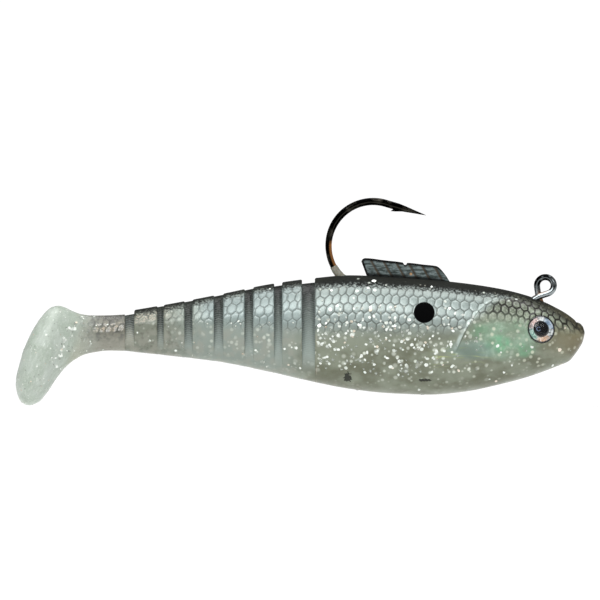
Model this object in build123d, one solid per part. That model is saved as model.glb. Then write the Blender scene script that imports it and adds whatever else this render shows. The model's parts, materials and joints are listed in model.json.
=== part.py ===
from build123d import *
import os
from math import atan2, cos, degrees, hypot, radians, sin, tan

# A soft-plastic swimbait, 102 mm long, rigged on a weighted jig hook.
#
# The soft body is one moulding in the real lure: a head and trunk, six raised ribs joined by thin webs that
# let the tail swing, a stalk and a boot-shaped paddle. It is built here as one solid for each stiff part of
# the moulding. Where a web bends, the front part carries an upright knuckle and the part behind has a socket
# for it, so that each web is a hinge about a vertical axis. The dorsal fin leans on a root of the same kind.
# Inside the trunk are a cast lead keel, the jig hook and a wire line tie that are cast into it, and two
# sheets of flash foil. Each side of the head carries an eye: an adhesive pad, a foil disc, a pupil and a lens.
#
# Units are millimetres. The origin is the centre of the line tie's ring, +X points to the nose, +Z to the
# back, and Y is the lure's left side. The lure is a mirror image about the plane Y = 0.

# ---------------------------------------------------------------- driving dimensions

# Stations along the body from the nose back: X, top, bottom and half width of an upright oval.
BODY_STATIONS = [
    (6.9, -7.7, -9.4, 0.75),
    (6.6, -7.25, -10.2, 1.35),
    (6.0, -6.7, -11.4, 1.95),
    (5.0, -5.95, -12.75, 2.6),
    (3.9, -5.1, -13.75, 3.15),
    (2.2, -4.15, -14.5, 3.8),
    (0.0, -2.95, -15.35, 4.5),
    (-3.5, -1.7, -16.6, 5.2),
    (-8.2, -0.55, -17.8, 5.9),
    (-14.5, 0.4, -19.1, 6.35),
    (-20.8, 1.1, -19.65, 6.5),
    (-28.0, 1.6, -19.35, 6.4),
    (-35.2, 1.8, -18.6, 6.1),
    (-41.3, 1.35, -17.4, 5.7),
    (-49.6, 0.25, -15.55, 4.95),
    (-58.6, -1.5, -13.75, 4.05),
    (-67.6, -3.3, -12.6, 3.2),
    (-76.0, -4.75, -11.75, 2.4),
]

# Grooves between the stiff parts of the tail, from the trunk back: X of the front wall and of the rear wall,
# and how far the knuckle's top lies under the back.
GROOVES = [
    (-41.5, -43.8, 1.4),
    (-47.4, -48.8, 1.1),
    (-52.6, -54.1, 1.0),
    (-58.0, -59.6, 0.9),
    (-63.5, -64.9, 0.9),
    (-68.7, -69.8, 0.9),
    (-74.0, -75.6, 1.4),
]
KNUCKLE_BELLY_COVER = 0.9  # height of the knuckle's foot over the belly line
KNUCKLE_SHARE = 0.5  # knuckle radius as a share of the body's half width
KNUCKLE_END_SHARE = 0.2  # knuckle radius at its top and foot, as the same share
KNUCKLE_TAPER = 0.3  # share of the knuckle's height that each end tapers over
RUNNING_GAP = 0.08  # clearance all round a knuckle in its socket

# The stalk behind the last groove, and the paddle's neck: the same figures as BODY_STATIONS.
STALK_STATIONS = [
    (-75.6, -5.1, -11.7, 2.2),
    (-78.4, -5.3, -11.75, 1.95),
    (-81.2, -5.35, -12.1, 1.8),
    (-83.4, -5.0, -12.8, 1.85),
    (-85.6, -4.5, -14.1, 2.1),
    (-87.6, -4.6, -15.2, 2.2),
]
PADDLE_GAP = (-82.1, -83.1)  # slot that the paddle's hinge turns in
PADDLE_KNUCKLE_R = 1.0

# Level cuts through the boot-shaped paddle from its top down: Z, rear X, front X, half width.
PADDLE_LEVELS = [
    (-3.8, -89.2, -87.6, 1.0),
    (-4.2, -89.8, -86.3, 2.0),
    (-5.2, -90.6, -86.0, 3.0),
    (-6.6, -91.4, -86.0, 3.8),
    (-9.0, -92.8, -86.0, 4.6),
    (-12.0, -94.2, -86.0, 5.1),
    (-14.2, -94.9, -86.0, 5.3),
    (-15.8, -95.2, -87.2, 5.1),
    (-17.5, -95.35, -88.5, 4.6),
    (-19.5, -95.1, -89.9, 3.6),
    (-20.9, -94.4, -91.4, 2.3),
    (-21.5, -93.6, -92.6, 1.0),
]

# Jig hook
HOOK_WIRE_R = 0.575
HOOK_BEND_CENTRE = (-31.03, 7.12)  # X, Z
HOOK_BEND_R = 8.0
HOOK_SHANK_SLOPE = 9.0  # degrees that the shank falls towards the nose
HOOK_SHANK_FRONT_X = -4.5
HOOK_POINT_SLOPE = 16.5  # degrees that the point falls towards the nose
HOOK_SPEAR_LENGTH = 4.0  # from the bend's end to where the taper begins
HOOK_TIP_LENGTH = 3.6
HOOK_TIP_R = 0.06
BARB_LENGTH = 1.6
BARB_LIFT = 0.55

# Line tie: a ring of wire whose two legs cross and run down into the lead
TIE_WIRE_R = 0.57
TIE_RING_R = 1.51
TIE_CROSSING = (-1.24, -1.98)  # X, Z where the legs cross under the ring
TIE_SPREAD = 0.6  # Y of each leg at the crossing, so that one passes in front of the other
TIE_LEG_FOOT_Z = -8.2
TIE_LEG_FOOT_X = (-0.6, -3.4)

# Lead keel: the same figures as BODY_STATIONS
KEEL_STATIONS = [
    (3.2, -8.4, -10.4, 0.9),
    (2.2, -6.9, -11.6, 1.7),
    (0.0, -5.3, -12.8, 2.5),
    (-4.0, -4.1, -13.9, 3.1),
    (-9.0, -4.4, -15.0, 3.4),
    (-14.0, -6.9, -16.1, 3.4),
    (-20.0, -9.8, -16.5, 3.0),
    (-25.5, -12.0, -16.0, 2.0),
    (-28.0, -13.2, -15.2, 0.95),
]
KEEL_HALF_FLAT = 2.9  # the keel's sides are cast flat here, and the foil lies on them
COLLAR_R = 1.45
COLLAR_REAR_X = -15.5
COLLAR_FRONT_X = -8.0
COLLAR_BARB_R = 2.0
COLLAR_BARB_LENGTH = 1.6
COLLAR_BARB_REAR_X = (-15.5, -12.9)

# Flash foil: outline in X, Z of each sheet
FOIL_THICKNESS = 0.15
FOIL_OUTLINE = [(-4.5, -9.5), (-9.0, -5.6), (-20.0, -3.6), (-33.0, -4.6), (-38.5, -8.5),
                (-34.0, -12.2), (-24.0, -15.0), (-10.0, -13.6)]

# Eyes
EYE_CENTRE = (-0.95, -7.9)  # X, Z
EYE_Y = 4.0  # the middle of the eye's seat
EYE_FORWARD = 13.0  # degrees that the eye looks towards the nose
EYE_UP = 9.0
EYE_R = 2.5
EYE_PAD_THICKNESS = 0.25
EYE_FOIL_THICKNESS = 0.12
PUPIL_R = 1.35
PUPIL_THICKNESS = 0.1
LENS_EDGE = 0.3
LENS_RISE = 0.95
EYE_POCKET_LENGTH = 3.0  # how far the pocket is cut out past the seat

# Dorsal fin, in X and Z along the straight line of its root
FIN_ROOT_REAR = (-32.0, 1.78)
FIN_ROOT_FRONT = (-17.3, 0.82)
FIN_ROOT_R = 0.8
FIN_OUTLINE = [(-31.9, 1.9), (-33.15, 4.5), (-32.5, 4.95), (-26.0, 4.15), (-19.4, 3.45), (-18.2, 2.35), (-17.3, 0.95)]
FIN_HALF_THICKNESS = 0.5

# Soft collar round the hook where it leaves the back: X, Z and radius at its top and at its foot
HOOK_COLLAR_TOP = (-38.0, 3.15, 0.74)
HOOK_COLLAR_FOOT = (-36.4, 1.1, 1.0)

PARTS = "parts"


# ---------------------------------------------------------------- helpers

def upright_oval(x, top, bottom, half_width):
    """An ellipse across the body, in the plane at x."""
    plane = Plane(origin=(x, 0, (top + bottom) / 2), x_dir=(0, 1, 0), z_dir=(1, 0, 0))
    return plane * Ellipse(half_width, (top - bottom) / 2)


def loft_along_x(stations):
    """A smooth solid through upright ovals."""
    return loft([upright_oval(*station) for station in stations])


def at(stations, x):
    """Top, bottom and half width between two stations, on straight lines."""
    for (x0, *front), (x1, *rear) in zip(stations, stations[1:]):
        if x1 <= x <= x0:
            share = (x0 - x) / (x0 - x1)
            return [a + (b - a) * share for a, b in zip(front, rear)]
    raise ValueError(f"no station reaches x = {x}")


def slab(x_rear, x_front):
    """Everything between two planes across the body."""
    reach = 60
    return Pos((x_rear + x_front) / 2, 0, -8) * Box(x_front - x_rear, reach, reach)


def barrel(x, top, bottom, radius, end_radius, gap=0.0):
    """An upright knuckle about the Z axis at x: a cylinder with a tapered top and foot."""
    taper = (top - bottom) * KNUCKLE_TAPER
    with_gap, end_with_gap = radius + gap, end_radius + gap
    outline = [
        (0, top + gap),
        (end_with_gap, top + gap),
        (with_gap, top - taper + gap),
        (with_gap, bottom + taper - gap),
        (end_with_gap, bottom - gap),
        (0, bottom - gap),
    ]
    face = make_face(Polyline(*[(r, 0, z) for r, z in outline], close=True))
    return Pos(x, 0, 0) * revolve(face, Axis.Z)


def rod(start, end, radius, end_radius=None):
    """A straight round bar, or a cone, from start to end."""
    start, end = Vector(*start), Vector(*end)
    along = end - start
    plane = Plane(origin=start + along * 0.5, z_dir=along)
    if end_radius is None:
        return plane * Cylinder(radius, along.length)
    return plane * Cone(radius, end_radius, along.length)


def one(shape, name):
    """The shape's only solid. A part that fell apart stops the build here."""
    solids = shape.solids()
    if len(solids) != 1:
        raise ValueError(f"{name} has {len(solids)} solids: {[round(s.volume, 2) for s in solids]}")
    return solids[0]


# ---------------------------------------------------------------- hinges of the tail

def knuckle_sizes():
    """X, top, foot, radius and end radius of the knuckle in each groove, then the paddle's."""
    sizes = []
    for front, rear, under_back in GROOVES:
        x = (front + rear) / 2
        top, bottom, half_width = at(BODY_STATIONS, x)
        sizes.append((x, top - under_back, bottom + KNUCKLE_BELLY_COVER,
                      half_width * KNUCKLE_SHARE, half_width * KNUCKLE_END_SHARE))
    x = sum(PADDLE_GAP) / 2
    top, bottom, _ = at(STALK_STATIONS, x)
    sizes.append((x, top - 0.5, bottom + 0.5, PADDLE_KNUCKLE_R, PADDLE_KNUCKLE_R * 0.6))
    return sizes


KNUCKLES = knuckle_sizes()


def tail_part(blank, number):
    """One stiff part of the tail: blank, with a socket in front and, unless it is the last, a knuckle behind."""
    part = blank - barrel(*KNUCKLES[number - 1], gap=RUNNING_GAP)
    if number < len(KNUCKLES):
        part = part + (barrel(*KNUCKLES[number]) - barrel(*KNUCKLES[number - 1], gap=RUNNING_GAP))
    return part


# ---------------------------------------------------------------- metal inside

def hook_line():
    """The hook's centre line without its tip: shank, round bend and the straight behind the point."""
    cx, cz = HOOK_BEND_CENTRE
    shank, point = radians(HOOK_SHANK_SLOPE), radians(HOOK_POINT_SLOPE)
    bend_foot = (cx - HOOK_BEND_R * sin(shank), 0, cz - HOOK_BEND_R * cos(shank))
    bend_side = (cx - HOOK_BEND_R, 0, cz)
    bend_top = (cx + HOOK_BEND_R * sin(point), 0, cz + HOOK_BEND_R * cos(point))
    shank_run = bend_foot[0] - HOOK_SHANK_FRONT_X
    shank_front = (HOOK_SHANK_FRONT_X, 0, bend_foot[2] + shank_run * tan(shank))
    spear_end = (bend_top[0] + HOOK_SPEAR_LENGTH * cos(point), 0, bend_top[2] - HOOK_SPEAR_LENGTH * sin(point))
    return shank_front, bend_foot, bend_side, bend_top, spear_end


def jig_hook():
    """A round-bend hook: wire of one gauge, a long conical point and one barb on the inside."""
    shank_front, bend_foot, bend_side, bend_top, spear_end = hook_line()
    path = Wire([Line(shank_front, bend_foot).edge(),
                 ThreePointArc(bend_foot, bend_side, bend_top).edge(),
                 Line(bend_top, spear_end).edge()])
    start = Plane(origin=shank_front, z_dir=Vector(*bend_foot) - Vector(*shank_front))
    wire = sweep(start * Circle(HOOK_WIRE_R), path=path)
    point = radians(HOOK_POINT_SLOPE)
    along, inward = Vector(cos(point), 0, -sin(point)), Vector(-sin(point), 0, -cos(point))
    end = Vector(*spear_end)
    tip = end + along * HOOK_TIP_LENGTH
    cone = rod(end, tip, HOOK_WIRE_R, HOOK_TIP_R)
    root = end + along * 0.4
    barb_outline = [root + inward * 0.2,
                    root - along * BARB_LENGTH + inward * (HOOK_WIRE_R + BARB_LIFT),
                    root - along * BARB_LENGTH * 0.55 + inward * 0.2]
    barb = extrude(make_face(Polyline(*barb_outline, close=True)), amount=0.18, both=True)
    return one(wire + cone + barb, "jig_hook")


def line_tie():
    """A ring of wire. Its legs cross under it, one in front of the other, and stand in the lead."""
    cross_x, cross_z = TIE_CROSSING
    reach = hypot(cross_x, cross_z)
    tangent = (reach**2 - TIE_RING_R**2) ** 0.5
    lean = atan2(-cross_z, -cross_x)
    half = atan2(TIE_RING_R, tangent)
    left = (cross_x + tangent * cos(lean + half), cross_z + tangent * sin(lean + half))
    right = (cross_x + tangent * cos(lean - half), cross_z + tangent * sin(lean - half))
    top = (TIE_RING_R * cos(lean), TIE_RING_R * sin(lean))
    side_y = TIE_SPREAD * 0.62
    arc = ThreePointArc((left[0], side_y, left[1]), (top[0], 0, top[1]), (right[0], -side_y, right[1]))
    ring = sweep(Plane(origin=arc @ 0, z_dir=arc % 0) * Circle(TIE_WIRE_R), path=Wire([arc.edge()]))
    tie = ring
    for sign, (x, z), foot_x in ((1, left, TIE_LEG_FOOT_X[0]), (-1, right, TIE_LEG_FOOT_X[1])):
        shoulder = (x, sign * side_y, z)
        crossing = (cross_x, sign * TIE_SPREAD, cross_z)
        beyond_x = cross_x + (cross_x - x) * 0.75
        beyond = (beyond_x, sign * TIE_SPREAD, cross_z + (cross_z - z) * 0.75)
        foot = (foot_x, sign * TIE_SPREAD, TIE_LEG_FOOT_Z)
        for corner in (shoulder, crossing, beyond):
            tie = tie + Pos(*corner) * Sphere(TIE_WIRE_R)
        tie = tie + rod(shoulder, crossing, TIE_WIRE_R) + rod(crossing, beyond, TIE_WIRE_R)
        tie = tie + rod(beyond, foot, TIE_WIRE_R)
    return one(tie, "line_tie")


def shank_point(x):
    """The point of the shank's centre line at x."""
    shank_front, *_ = hook_line()
    return (x, 0, shank_front[2] + (shank_front[0] - x) * tan(radians(HOOK_SHANK_SLOPE)))


def lead_keel(hook, tie):
    """The cast weight: a flat-sided keel with a barbed collar round the shank, moulded on both wires."""
    keel = loft_along_x(KEEL_STATIONS)
    collar = rod(shank_point(COLLAR_REAR_X), shank_point(COLLAR_FRONT_X), COLLAR_R)
    for rear_x in COLLAR_BARB_REAR_X:
        collar = collar + rod(shank_point(rear_x), shank_point(rear_x + COLLAR_BARB_LENGTH), COLLAR_R, COLLAR_BARB_R)
    reach = 60
    between_flats = Pos(-12, 0, -9) * Box(reach, 2 * KEEL_HALF_FLAT, reach)
    return one((keel + collar) & between_flats - hook - tie, "lead_keel")


def flash_foil(side):
    """One flat sheet of foil against the keel's side."""
    inner_y = side * KEEL_HALF_FLAT
    face = make_face(Polyline(*[(x, inner_y, z) for x, z in FOIL_OUTLINE], close=True))
    return extrude(face, amount=FOIL_THICKNESS, dir=(0, side, 0))


# ---------------------------------------------------------------- eyes

def eye_seat(side):
    """The plane on which an eye is stuck: its normal looks out of the head."""
    forward, up = radians(EYE_FORWARD), radians(EYE_UP)
    outward = (sin(forward) * cos(up), side * cos(forward) * cos(up), sin(up))
    return Plane(origin=(EYE_CENTRE[0], side * EYE_Y, EYE_CENTRE[1]), x_dir=(0, -side * sin(up), cos(up)),
                 z_dir=outward)


def disc(radius, low, high):
    """A round disc between two heights over the seat."""
    return Pos(0, 0, (low + high) / 2) * Cylinder(radius, high - low)


def eye_pieces(side):
    """Pad, foil disc, pupil and lens, stacked on the seat."""
    seat = eye_seat(side)
    foil_low = EYE_PAD_THICKNESS
    foil_high = foil_low + EYE_FOIL_THICKNESS
    pupil_high = foil_high + PUPIL_THICKNESS
    edge_high = foil_high + LENS_EDGE
    dome_r = (EYE_R**2 + LENS_RISE**2) / (2 * LENS_RISE)
    dome = Pos(0, 0, edge_high + LENS_RISE - dome_r) * Sphere(dome_r)
    lens = disc(EYE_R, foil_high, edge_high + LENS_RISE) & dome
    lens = lens - disc(PUPIL_R, foil_high, pupil_high)
    return {
        "eye_pad": seat * disc(EYE_R, 0, foil_low),
        "eye_foil": seat * disc(EYE_R, foil_low, foil_high),
        "eye_pupil": seat * disc(PUPIL_R, foil_high, pupil_high),
        "eye_lens": seat * lens,
    }


# ---------------------------------------------------------------- fin and trunk

def fin_root(gap=0.0):
    """The round root that the fin leans on."""
    (x0, z0), (x1, z1) = FIN_ROOT_REAR, FIN_ROOT_FRONT
    along = Vector(x1 - x0, 0, z1 - z0).normalized() * gap
    return rod(Vector(x0, 0, z0) - along, Vector(x1, 0, z1) + along, FIN_ROOT_R + gap)


def dorsal_fin():
    """A flat swept fin on its round root."""
    face = make_face(Polyline(*[(x, 0, z) for x, z in FIN_OUTLINE], close=True))
    blade = extrude(face, amount=FIN_HALF_THICKNESS, both=True)
    return one(blade + fin_root(), "dorsal_fin")


def trunk(blank, inside, eye_sides):
    """Head and trunk: the blank up to the first groove, hollow where the metal, the foil and the eyes sit."""
    front_of_tail = GROOVES[0][0]
    body = blank & slab(front_of_tail, BODY_STATIONS[0][0] + 1)
    top_x, top_z, top_r = HOOK_COLLAR_TOP
    foot_x, foot_z, foot_r = HOOK_COLLAR_FOOT
    body = body + rod((foot_x, 0, foot_z), (top_x, 0, top_z), foot_r, top_r)
    body = body + barrel(*KNUCKLES[0])
    body = body - fin_root(gap=RUNNING_GAP)
    for piece in inside:
        body = body - piece
    for side in eye_sides:
        body = body - eye_seat(side) * disc(EYE_R, 0, EYE_POCKET_LENGTH)
    return one(body, "trunk")


def paddle():
    """The boot: level ovals from its top to its sole, with the neck that joins it to the stalk."""
    ovals = []
    for z, rear, front, half_width in PADDLE_LEVELS:
        plane = Plane(origin=((rear + front) / 2, 0, z), x_dir=(1, 0, 0), z_dir=(0, 0, -1))
        ovals.append(plane * Ellipse((front - rear) / 2, half_width))
    neck = loft_along_x(STALK_STATIONS) & slab(STALK_STATIONS[-1][0], PADDLE_GAP[1])
    return one(tail_part(loft(ovals) + neck, len(KNUCKLES)), "tail_paddle")


# ---------------------------------------------------------------- the assembly

def build():
    """Every named piece of the lure."""
    blank = loft_along_x(BODY_STATIONS)
    hook = jig_hook()
    tie = line_tie()
    keel = lead_keel(hook, tie)
    foils = {side: flash_foil(side) for side in (1, -1)}
    pieces = {
        "trunk": trunk(blank, [keel, hook, tie, *foils.values()], (1, -1)),
        "dorsal_fin": dorsal_fin(),
        "jig_hook": hook,
        "line_tie": tie,
        "lead_keel": keel,
    }
    for side, name in ((1, "left"), (-1, "right")):
        pieces[f"flash_foil_{name}"] = foils[side]
        for kind, shape in eye_pieces(side).items():
            pieces[f"{kind}_{name}"] = shape
    for number in range(1, len(GROOVES)):
        rib = blank & slab(GROOVES[number][0], GROOVES[number - 1][1])
        pieces[f"rib_{number}"] = one(tail_part(rib, number), f"rib_{number}")
    stalk = loft_along_x(STALK_STATIONS) & slab(PADDLE_GAP[0], STALK_STATIONS[0][0])
    pieces["tail_stalk"] = one(tail_part(stalk, len(GROOVES)), "tail_stalk")
    pieces["tail_paddle"] = paddle()
    return pieces


def report(pieces):
    """Prints what the record needs: hinge lines, and volumes for the mass."""
    for x, top, bottom, radius, _ in KNUCKLES:
        print(f"hinge at x {x:.3f}, z {(top + bottom) / 2:.3f}, radius {radius:.3f}")
    (x0, z0), (x1, z1) = FIN_ROOT_REAR, FIN_ROOT_FRONT
    print(f"fin root falls {degrees(atan2(z0 - z1, x1 - x0)):.3f} degrees towards the nose")
    for name, shape in sorted(pieces.items()):
        print(f"{name}: {shape.volume:.2f} mm3")


if __name__ == "__main__":
    os.makedirs(PARTS, exist_ok=True)
    made = build()
    for name, shape in made.items():
        export_step(shape, os.path.join(PARTS, f"{name}.step"))
    report(made)
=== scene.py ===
# %% [markdown]
# # A soft-plastic swimbait
# This lesson builds the looks of a fishing lure round a finished CAD frame. The real lure is poured in one
# go: a soft, half-clear shad body with a ribbed tail and a boot-shaped paddle, painted with silver scales
# and filled with glitter. A jig hook, a wire line tie and a lead keel sit inside it, and it has two domed
# eyes. The frame gives the bodies that move; every surface below is a formula worked out with numpy and put
# into a mesh.

# %% Load the frame
import json
import bpy
import numpy as np
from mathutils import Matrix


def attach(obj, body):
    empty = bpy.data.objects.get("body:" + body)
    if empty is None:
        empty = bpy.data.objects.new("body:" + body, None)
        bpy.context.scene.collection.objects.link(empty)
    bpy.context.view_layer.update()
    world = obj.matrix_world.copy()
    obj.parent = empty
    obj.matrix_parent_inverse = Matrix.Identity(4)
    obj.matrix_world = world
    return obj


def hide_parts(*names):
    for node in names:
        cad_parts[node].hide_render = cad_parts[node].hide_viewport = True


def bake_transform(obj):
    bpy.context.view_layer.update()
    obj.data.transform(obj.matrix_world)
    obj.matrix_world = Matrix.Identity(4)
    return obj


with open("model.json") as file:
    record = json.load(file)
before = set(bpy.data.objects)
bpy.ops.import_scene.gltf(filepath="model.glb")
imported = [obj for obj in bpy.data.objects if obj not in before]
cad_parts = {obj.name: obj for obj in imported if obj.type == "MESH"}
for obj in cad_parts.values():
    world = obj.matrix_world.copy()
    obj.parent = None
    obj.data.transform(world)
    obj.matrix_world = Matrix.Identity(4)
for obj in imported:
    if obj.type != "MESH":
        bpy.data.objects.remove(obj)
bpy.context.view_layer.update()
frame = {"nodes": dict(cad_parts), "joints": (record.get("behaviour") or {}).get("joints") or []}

MM = 0.001  # the lengths below are millimetres, and Blender's are metres
rng = np.random.default_rng(11)

# %% [markdown]
# ## Formulas that work on numbers and on shader sockets
# The same pattern is needed twice: as real relief in the mesh and as paint in the material. To write each
# formula once, a small class wraps a shader socket and turns arithmetic into Math nodes. The helpers under
# it then take either a numpy array or such a wrapped socket.

# %% A wrapped socket and a finish
class Signal:
    """A value, colour or vector on its way through a material. Arithmetic on a value adds Math nodes."""

    def __init__(self, finish, socket):
        self.finish, self.socket = finish, socket

    def maths(self, operation, *others):
        return self.finish.node("ShaderNodeMath", {"operation": operation}, [self, *others])

    def __add__(self, other):
        return self.maths("ADD", other)

    def __radd__(self, other):
        return self.maths("ADD", other)

    def __sub__(self, other):
        return self.maths("SUBTRACT", other)

    def __rsub__(self, other):
        return self.finish.node("ShaderNodeMath", {"operation": "SUBTRACT"}, [other, self])

    def __mul__(self, other):
        return self.maths("MULTIPLY", other)

    def __rmul__(self, other):
        return self.maths("MULTIPLY", other)

    def __truediv__(self, other):
        return self.maths("DIVIDE", other)

    def __neg__(self):
        return self.maths("MULTIPLY", -1.0)

    def __pow__(self, other):
        return self.maths("POWER", other)

    def sprayed(self, share, *screen):
        """This colour under a layer of paint, given as a screen colour: none where share is 0, full at 1."""
        return self.finish.mix(share, self, paint(*screen))

    def parts(self):
        """The three numbers of a vector or a colour."""
        return [self.finish.node("ShaderNodeSeparateXYZ", {}, [self], axis) for axis in range(3)]


class Finish:
    """A material and the one Principled shader that most of its nodes feed."""

    def __init__(self, name, **constants):
        self.material = bpy.data.materials.new(name)
        self.material.use_nodes = True
        self.tree = self.material.node_tree
        self.tree.nodes.clear()
        self.output = self.tree.nodes.new("ShaderNodeOutputMaterial")
        self.shader = self.tree.nodes.new("ShaderNodeBsdfPrincipled")
        self.tree.links.new(self.shader.outputs[0], self.output.inputs[0])
        self.set(**constants)

    def feed(self, socket, value):
        if isinstance(value, Signal):
            self.tree.links.new(value.socket, socket)
        elif isinstance(value, tuple) and socket.type == "RGBA":
            socket.default_value = (*value[:3], 1.0)
        else:
            socket.default_value = value

    def node(self, kind, settings=None, inputs=(), output=0):
        """Adds a node: its settings first, then the values or links of its sockets, by place or by name."""
        made = self.tree.nodes.new(kind)
        for key, value in (settings or {}).items():
            setattr(made, key, value)
        pairs = inputs.items() if isinstance(inputs, dict) else enumerate(inputs)
        for key, value in pairs:
            self.feed(made.inputs[key], value)
        return Signal(self, made.outputs[output])

    def set(self, **sockets):
        """Sets or links sockets of the shader: base_color means Base Color."""
        for key, value in sockets.items():
            self.feed(self.shader.inputs[SOCKETS.get(key, key.replace("_", " ").title())], value)

    def attribute(self, name):
        return self.node("ShaderNodeAttribute", {"attribute_name": name}, output="Vector")

    def number(self, name):
        return self.node("ShaderNodeAttribute", {"attribute_name": name}, output="Fac")

    def mix(self, share, first, second):
        """first where share is 0 and second where it is 1, both colours."""
        settings = {"data_type": "RGBA", "clamp_factor": True}
        return self.node("ShaderNodeMix", settings, {0: share, 6: first, 7: second}, 2)

    def noise(self, where, size, detail=2.0, roughness=0.5):
        """Cloudy noise from 0 to 1, with lumps of about that size."""
        inputs = {"Vector": where, "Scale": 1.0 / size, "Detail": detail, "Roughness": roughness}
        return self.node("ShaderNodeTexNoise", {}, inputs)

    def stretched(self, where, scale, turn=(0.0, 0.0, 0.0)):
        """A vector turned and scaled along each axis."""
        return self.node("ShaderNodeMapping", {}, {"Vector": where, "Rotation": turn, "Scale": scale})

    def bump(self, height, depth):
        """Normals of a relief that is height times depth deep, depth in millimetres."""
        return self.node("ShaderNodeBump", {}, {"Height": height, "Distance": depth * MM, "Strength": 1.0})


SOCKETS = {"ior": "IOR", "specular_level": "Specular IOR Level"}


# %% Helpers for both
def is_signal(value):
    return isinstance(value, Signal)


def least(a, b):
    return a.maths("MINIMUM", b) if is_signal(a) else np.minimum(a, b)


def most(a, b):
    return a.maths("MAXIMUM", b) if is_signal(a) else np.maximum(a, b)


def size_of(a):
    return a.maths("ABSOLUTE") if is_signal(a) else np.abs(a)


def wave(a):
    return a.maths("SINE") if is_signal(a) else np.sin(a)


def from_middle_of(x, z, at_x, at_z, reach_x, reach_z):
    """The square of the distance from the middle of an oval, which is 1 on its edge."""
    return ((x - at_x) / reach_x) ** 2 + ((z - at_z) / reach_z) ** 2


def folded(a, half):
    """a measured from the nearest multiple of twice half: a saw from -half to half."""
    if is_signal(a):
        return a.maths("WRAP", half, -half)
    return (a + half) % (2 * half) - half


def ease(a, low, high):
    """0 before low, 1 after high, and an S curve between them. low may be the larger."""
    share = (a - low) / (high - low)
    share = least(most(share, 0.0), 1.0)
    return share * share * (3.0 - 2.0 * share)


def paint(red, green, blue):
    """A screen colour from 0 to 255 as linear light."""
    return tuple((value / 255) ** 2.2 for value in (red, green, blue))


def through(rows, at):
    """Columns of a table between its rows, whose first column is the place: a cubic through every row. The
    slope at a row is the harmonic mean of the slopes on its two sides, or none at a turn, so it never
    overshoots."""
    rows = np.array(sorted(rows), float)
    knots, values = rows[:, 0], rows[:, 1:]
    step = np.diff(knots)[:, None]
    slope = np.diff(values, axis=0) / step
    product = slope[:-1] * slope[1:]
    total = slope[:-1] + slope[1:]
    inner = np.where(product > 0, 2 * product / np.where(total == 0, 1, total), 0)
    tangent = np.vstack([slope[:1], inner, slope[-1:]])
    i = np.clip(np.searchsorted(knots, at) - 1, 0, len(knots) - 2)
    t = ((at - knots[i]) / step[i, 0])[:, None]
    rise = values[i] * (2 * t**3 - 3 * t**2 + 1) + values[i + 1] * (3 * t**2 - 2 * t**3)
    lean = tangent[i] * (t**3 - 2 * t**2 + t) + tangent[i + 1] * (t**3 - t**2)
    return rise + lean * step[i]


# %% [markdown]
# ## One way to make a skin
# Nearly every piece of this lure is a row of rings: the trunk, a rib, the boot of the tail, the hook's wire
# and the domes of the eyes. One function joins neighbouring rings with four-sided faces and closes each end
# with a fan to a middle point, so that no mesh has a hole or a seam. Each point also keeps its place at
# rest as an attribute, because a piece that bends across a hinge would drag a pattern on Object coordinates
# along.

# %% Rings into meshes
def ovals(top, bottom, half_width, around=264, power=2.0):
    """Rings between a top point and a bottom point (x, z): middle + cos(angle) of half the way up, and
    sin(angle) of half_width across. A power over 2 raises both to 2 / power, which squares the oval."""
    angle = np.linspace(0, 2 * np.pi, around, endpoint=False)
    up = np.sign(np.cos(angle)) * np.abs(np.cos(angle)) ** (2 / power)
    across = np.sign(np.sin(angle)) * np.abs(np.sin(angle)) ** (2 / power)
    middle, reach = (top + bottom) / 2, (top - bottom) / 2
    x = middle[:, :1] + reach[:, :1] * up
    z = middle[:, 1:] + reach[:, 1:] * up
    return np.stack([x, half_width[:, None] * across, z], -1)


def outward(rings):
    """Unit normals of a surface of rings: the cross product of its two directions, pointing away from the
    middle of each ring."""
    along = np.gradient(rings, axis=0)
    round_it = np.roll(rings, -1, 1) - np.roll(rings, 1, 1)
    normal = np.cross(along, round_it)
    normal /= np.linalg.norm(normal, axis=-1, keepdims=True) + 1e-12
    facing = (normal * (rings - rings.mean(1, keepdims=True))).sum(-1, keepdims=True)
    return normal * np.where(facing.sum() < 0, -1, 1)


def add_mesh(name, points, faces, material, **attributes):
    """A smooth mesh of points in millimetres. A three-column attribute is a vector, any other a number."""
    mesh = bpy.data.meshes.new(name)
    mesh.from_pydata((points * MM).tolist(), [], faces)
    mesh.polygons.foreach_set("use_smooth", np.ones(len(faces), bool))
    for key, values in {"place": points, **attributes}.items():
        kind, field = ("FLOAT_VECTOR", "vector") if values.ndim == 2 else ("FLOAT", "value")
        made = mesh.attributes.new(key, kind, "POINT")
        made.data.foreach_set(field, values.astype(np.float32).ravel())
    mesh.materials.append(material)
    mesh.validate()
    piece = bpy.data.objects.new(name, mesh)
    bpy.context.scene.collection.objects.link(piece)
    return piece


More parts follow.
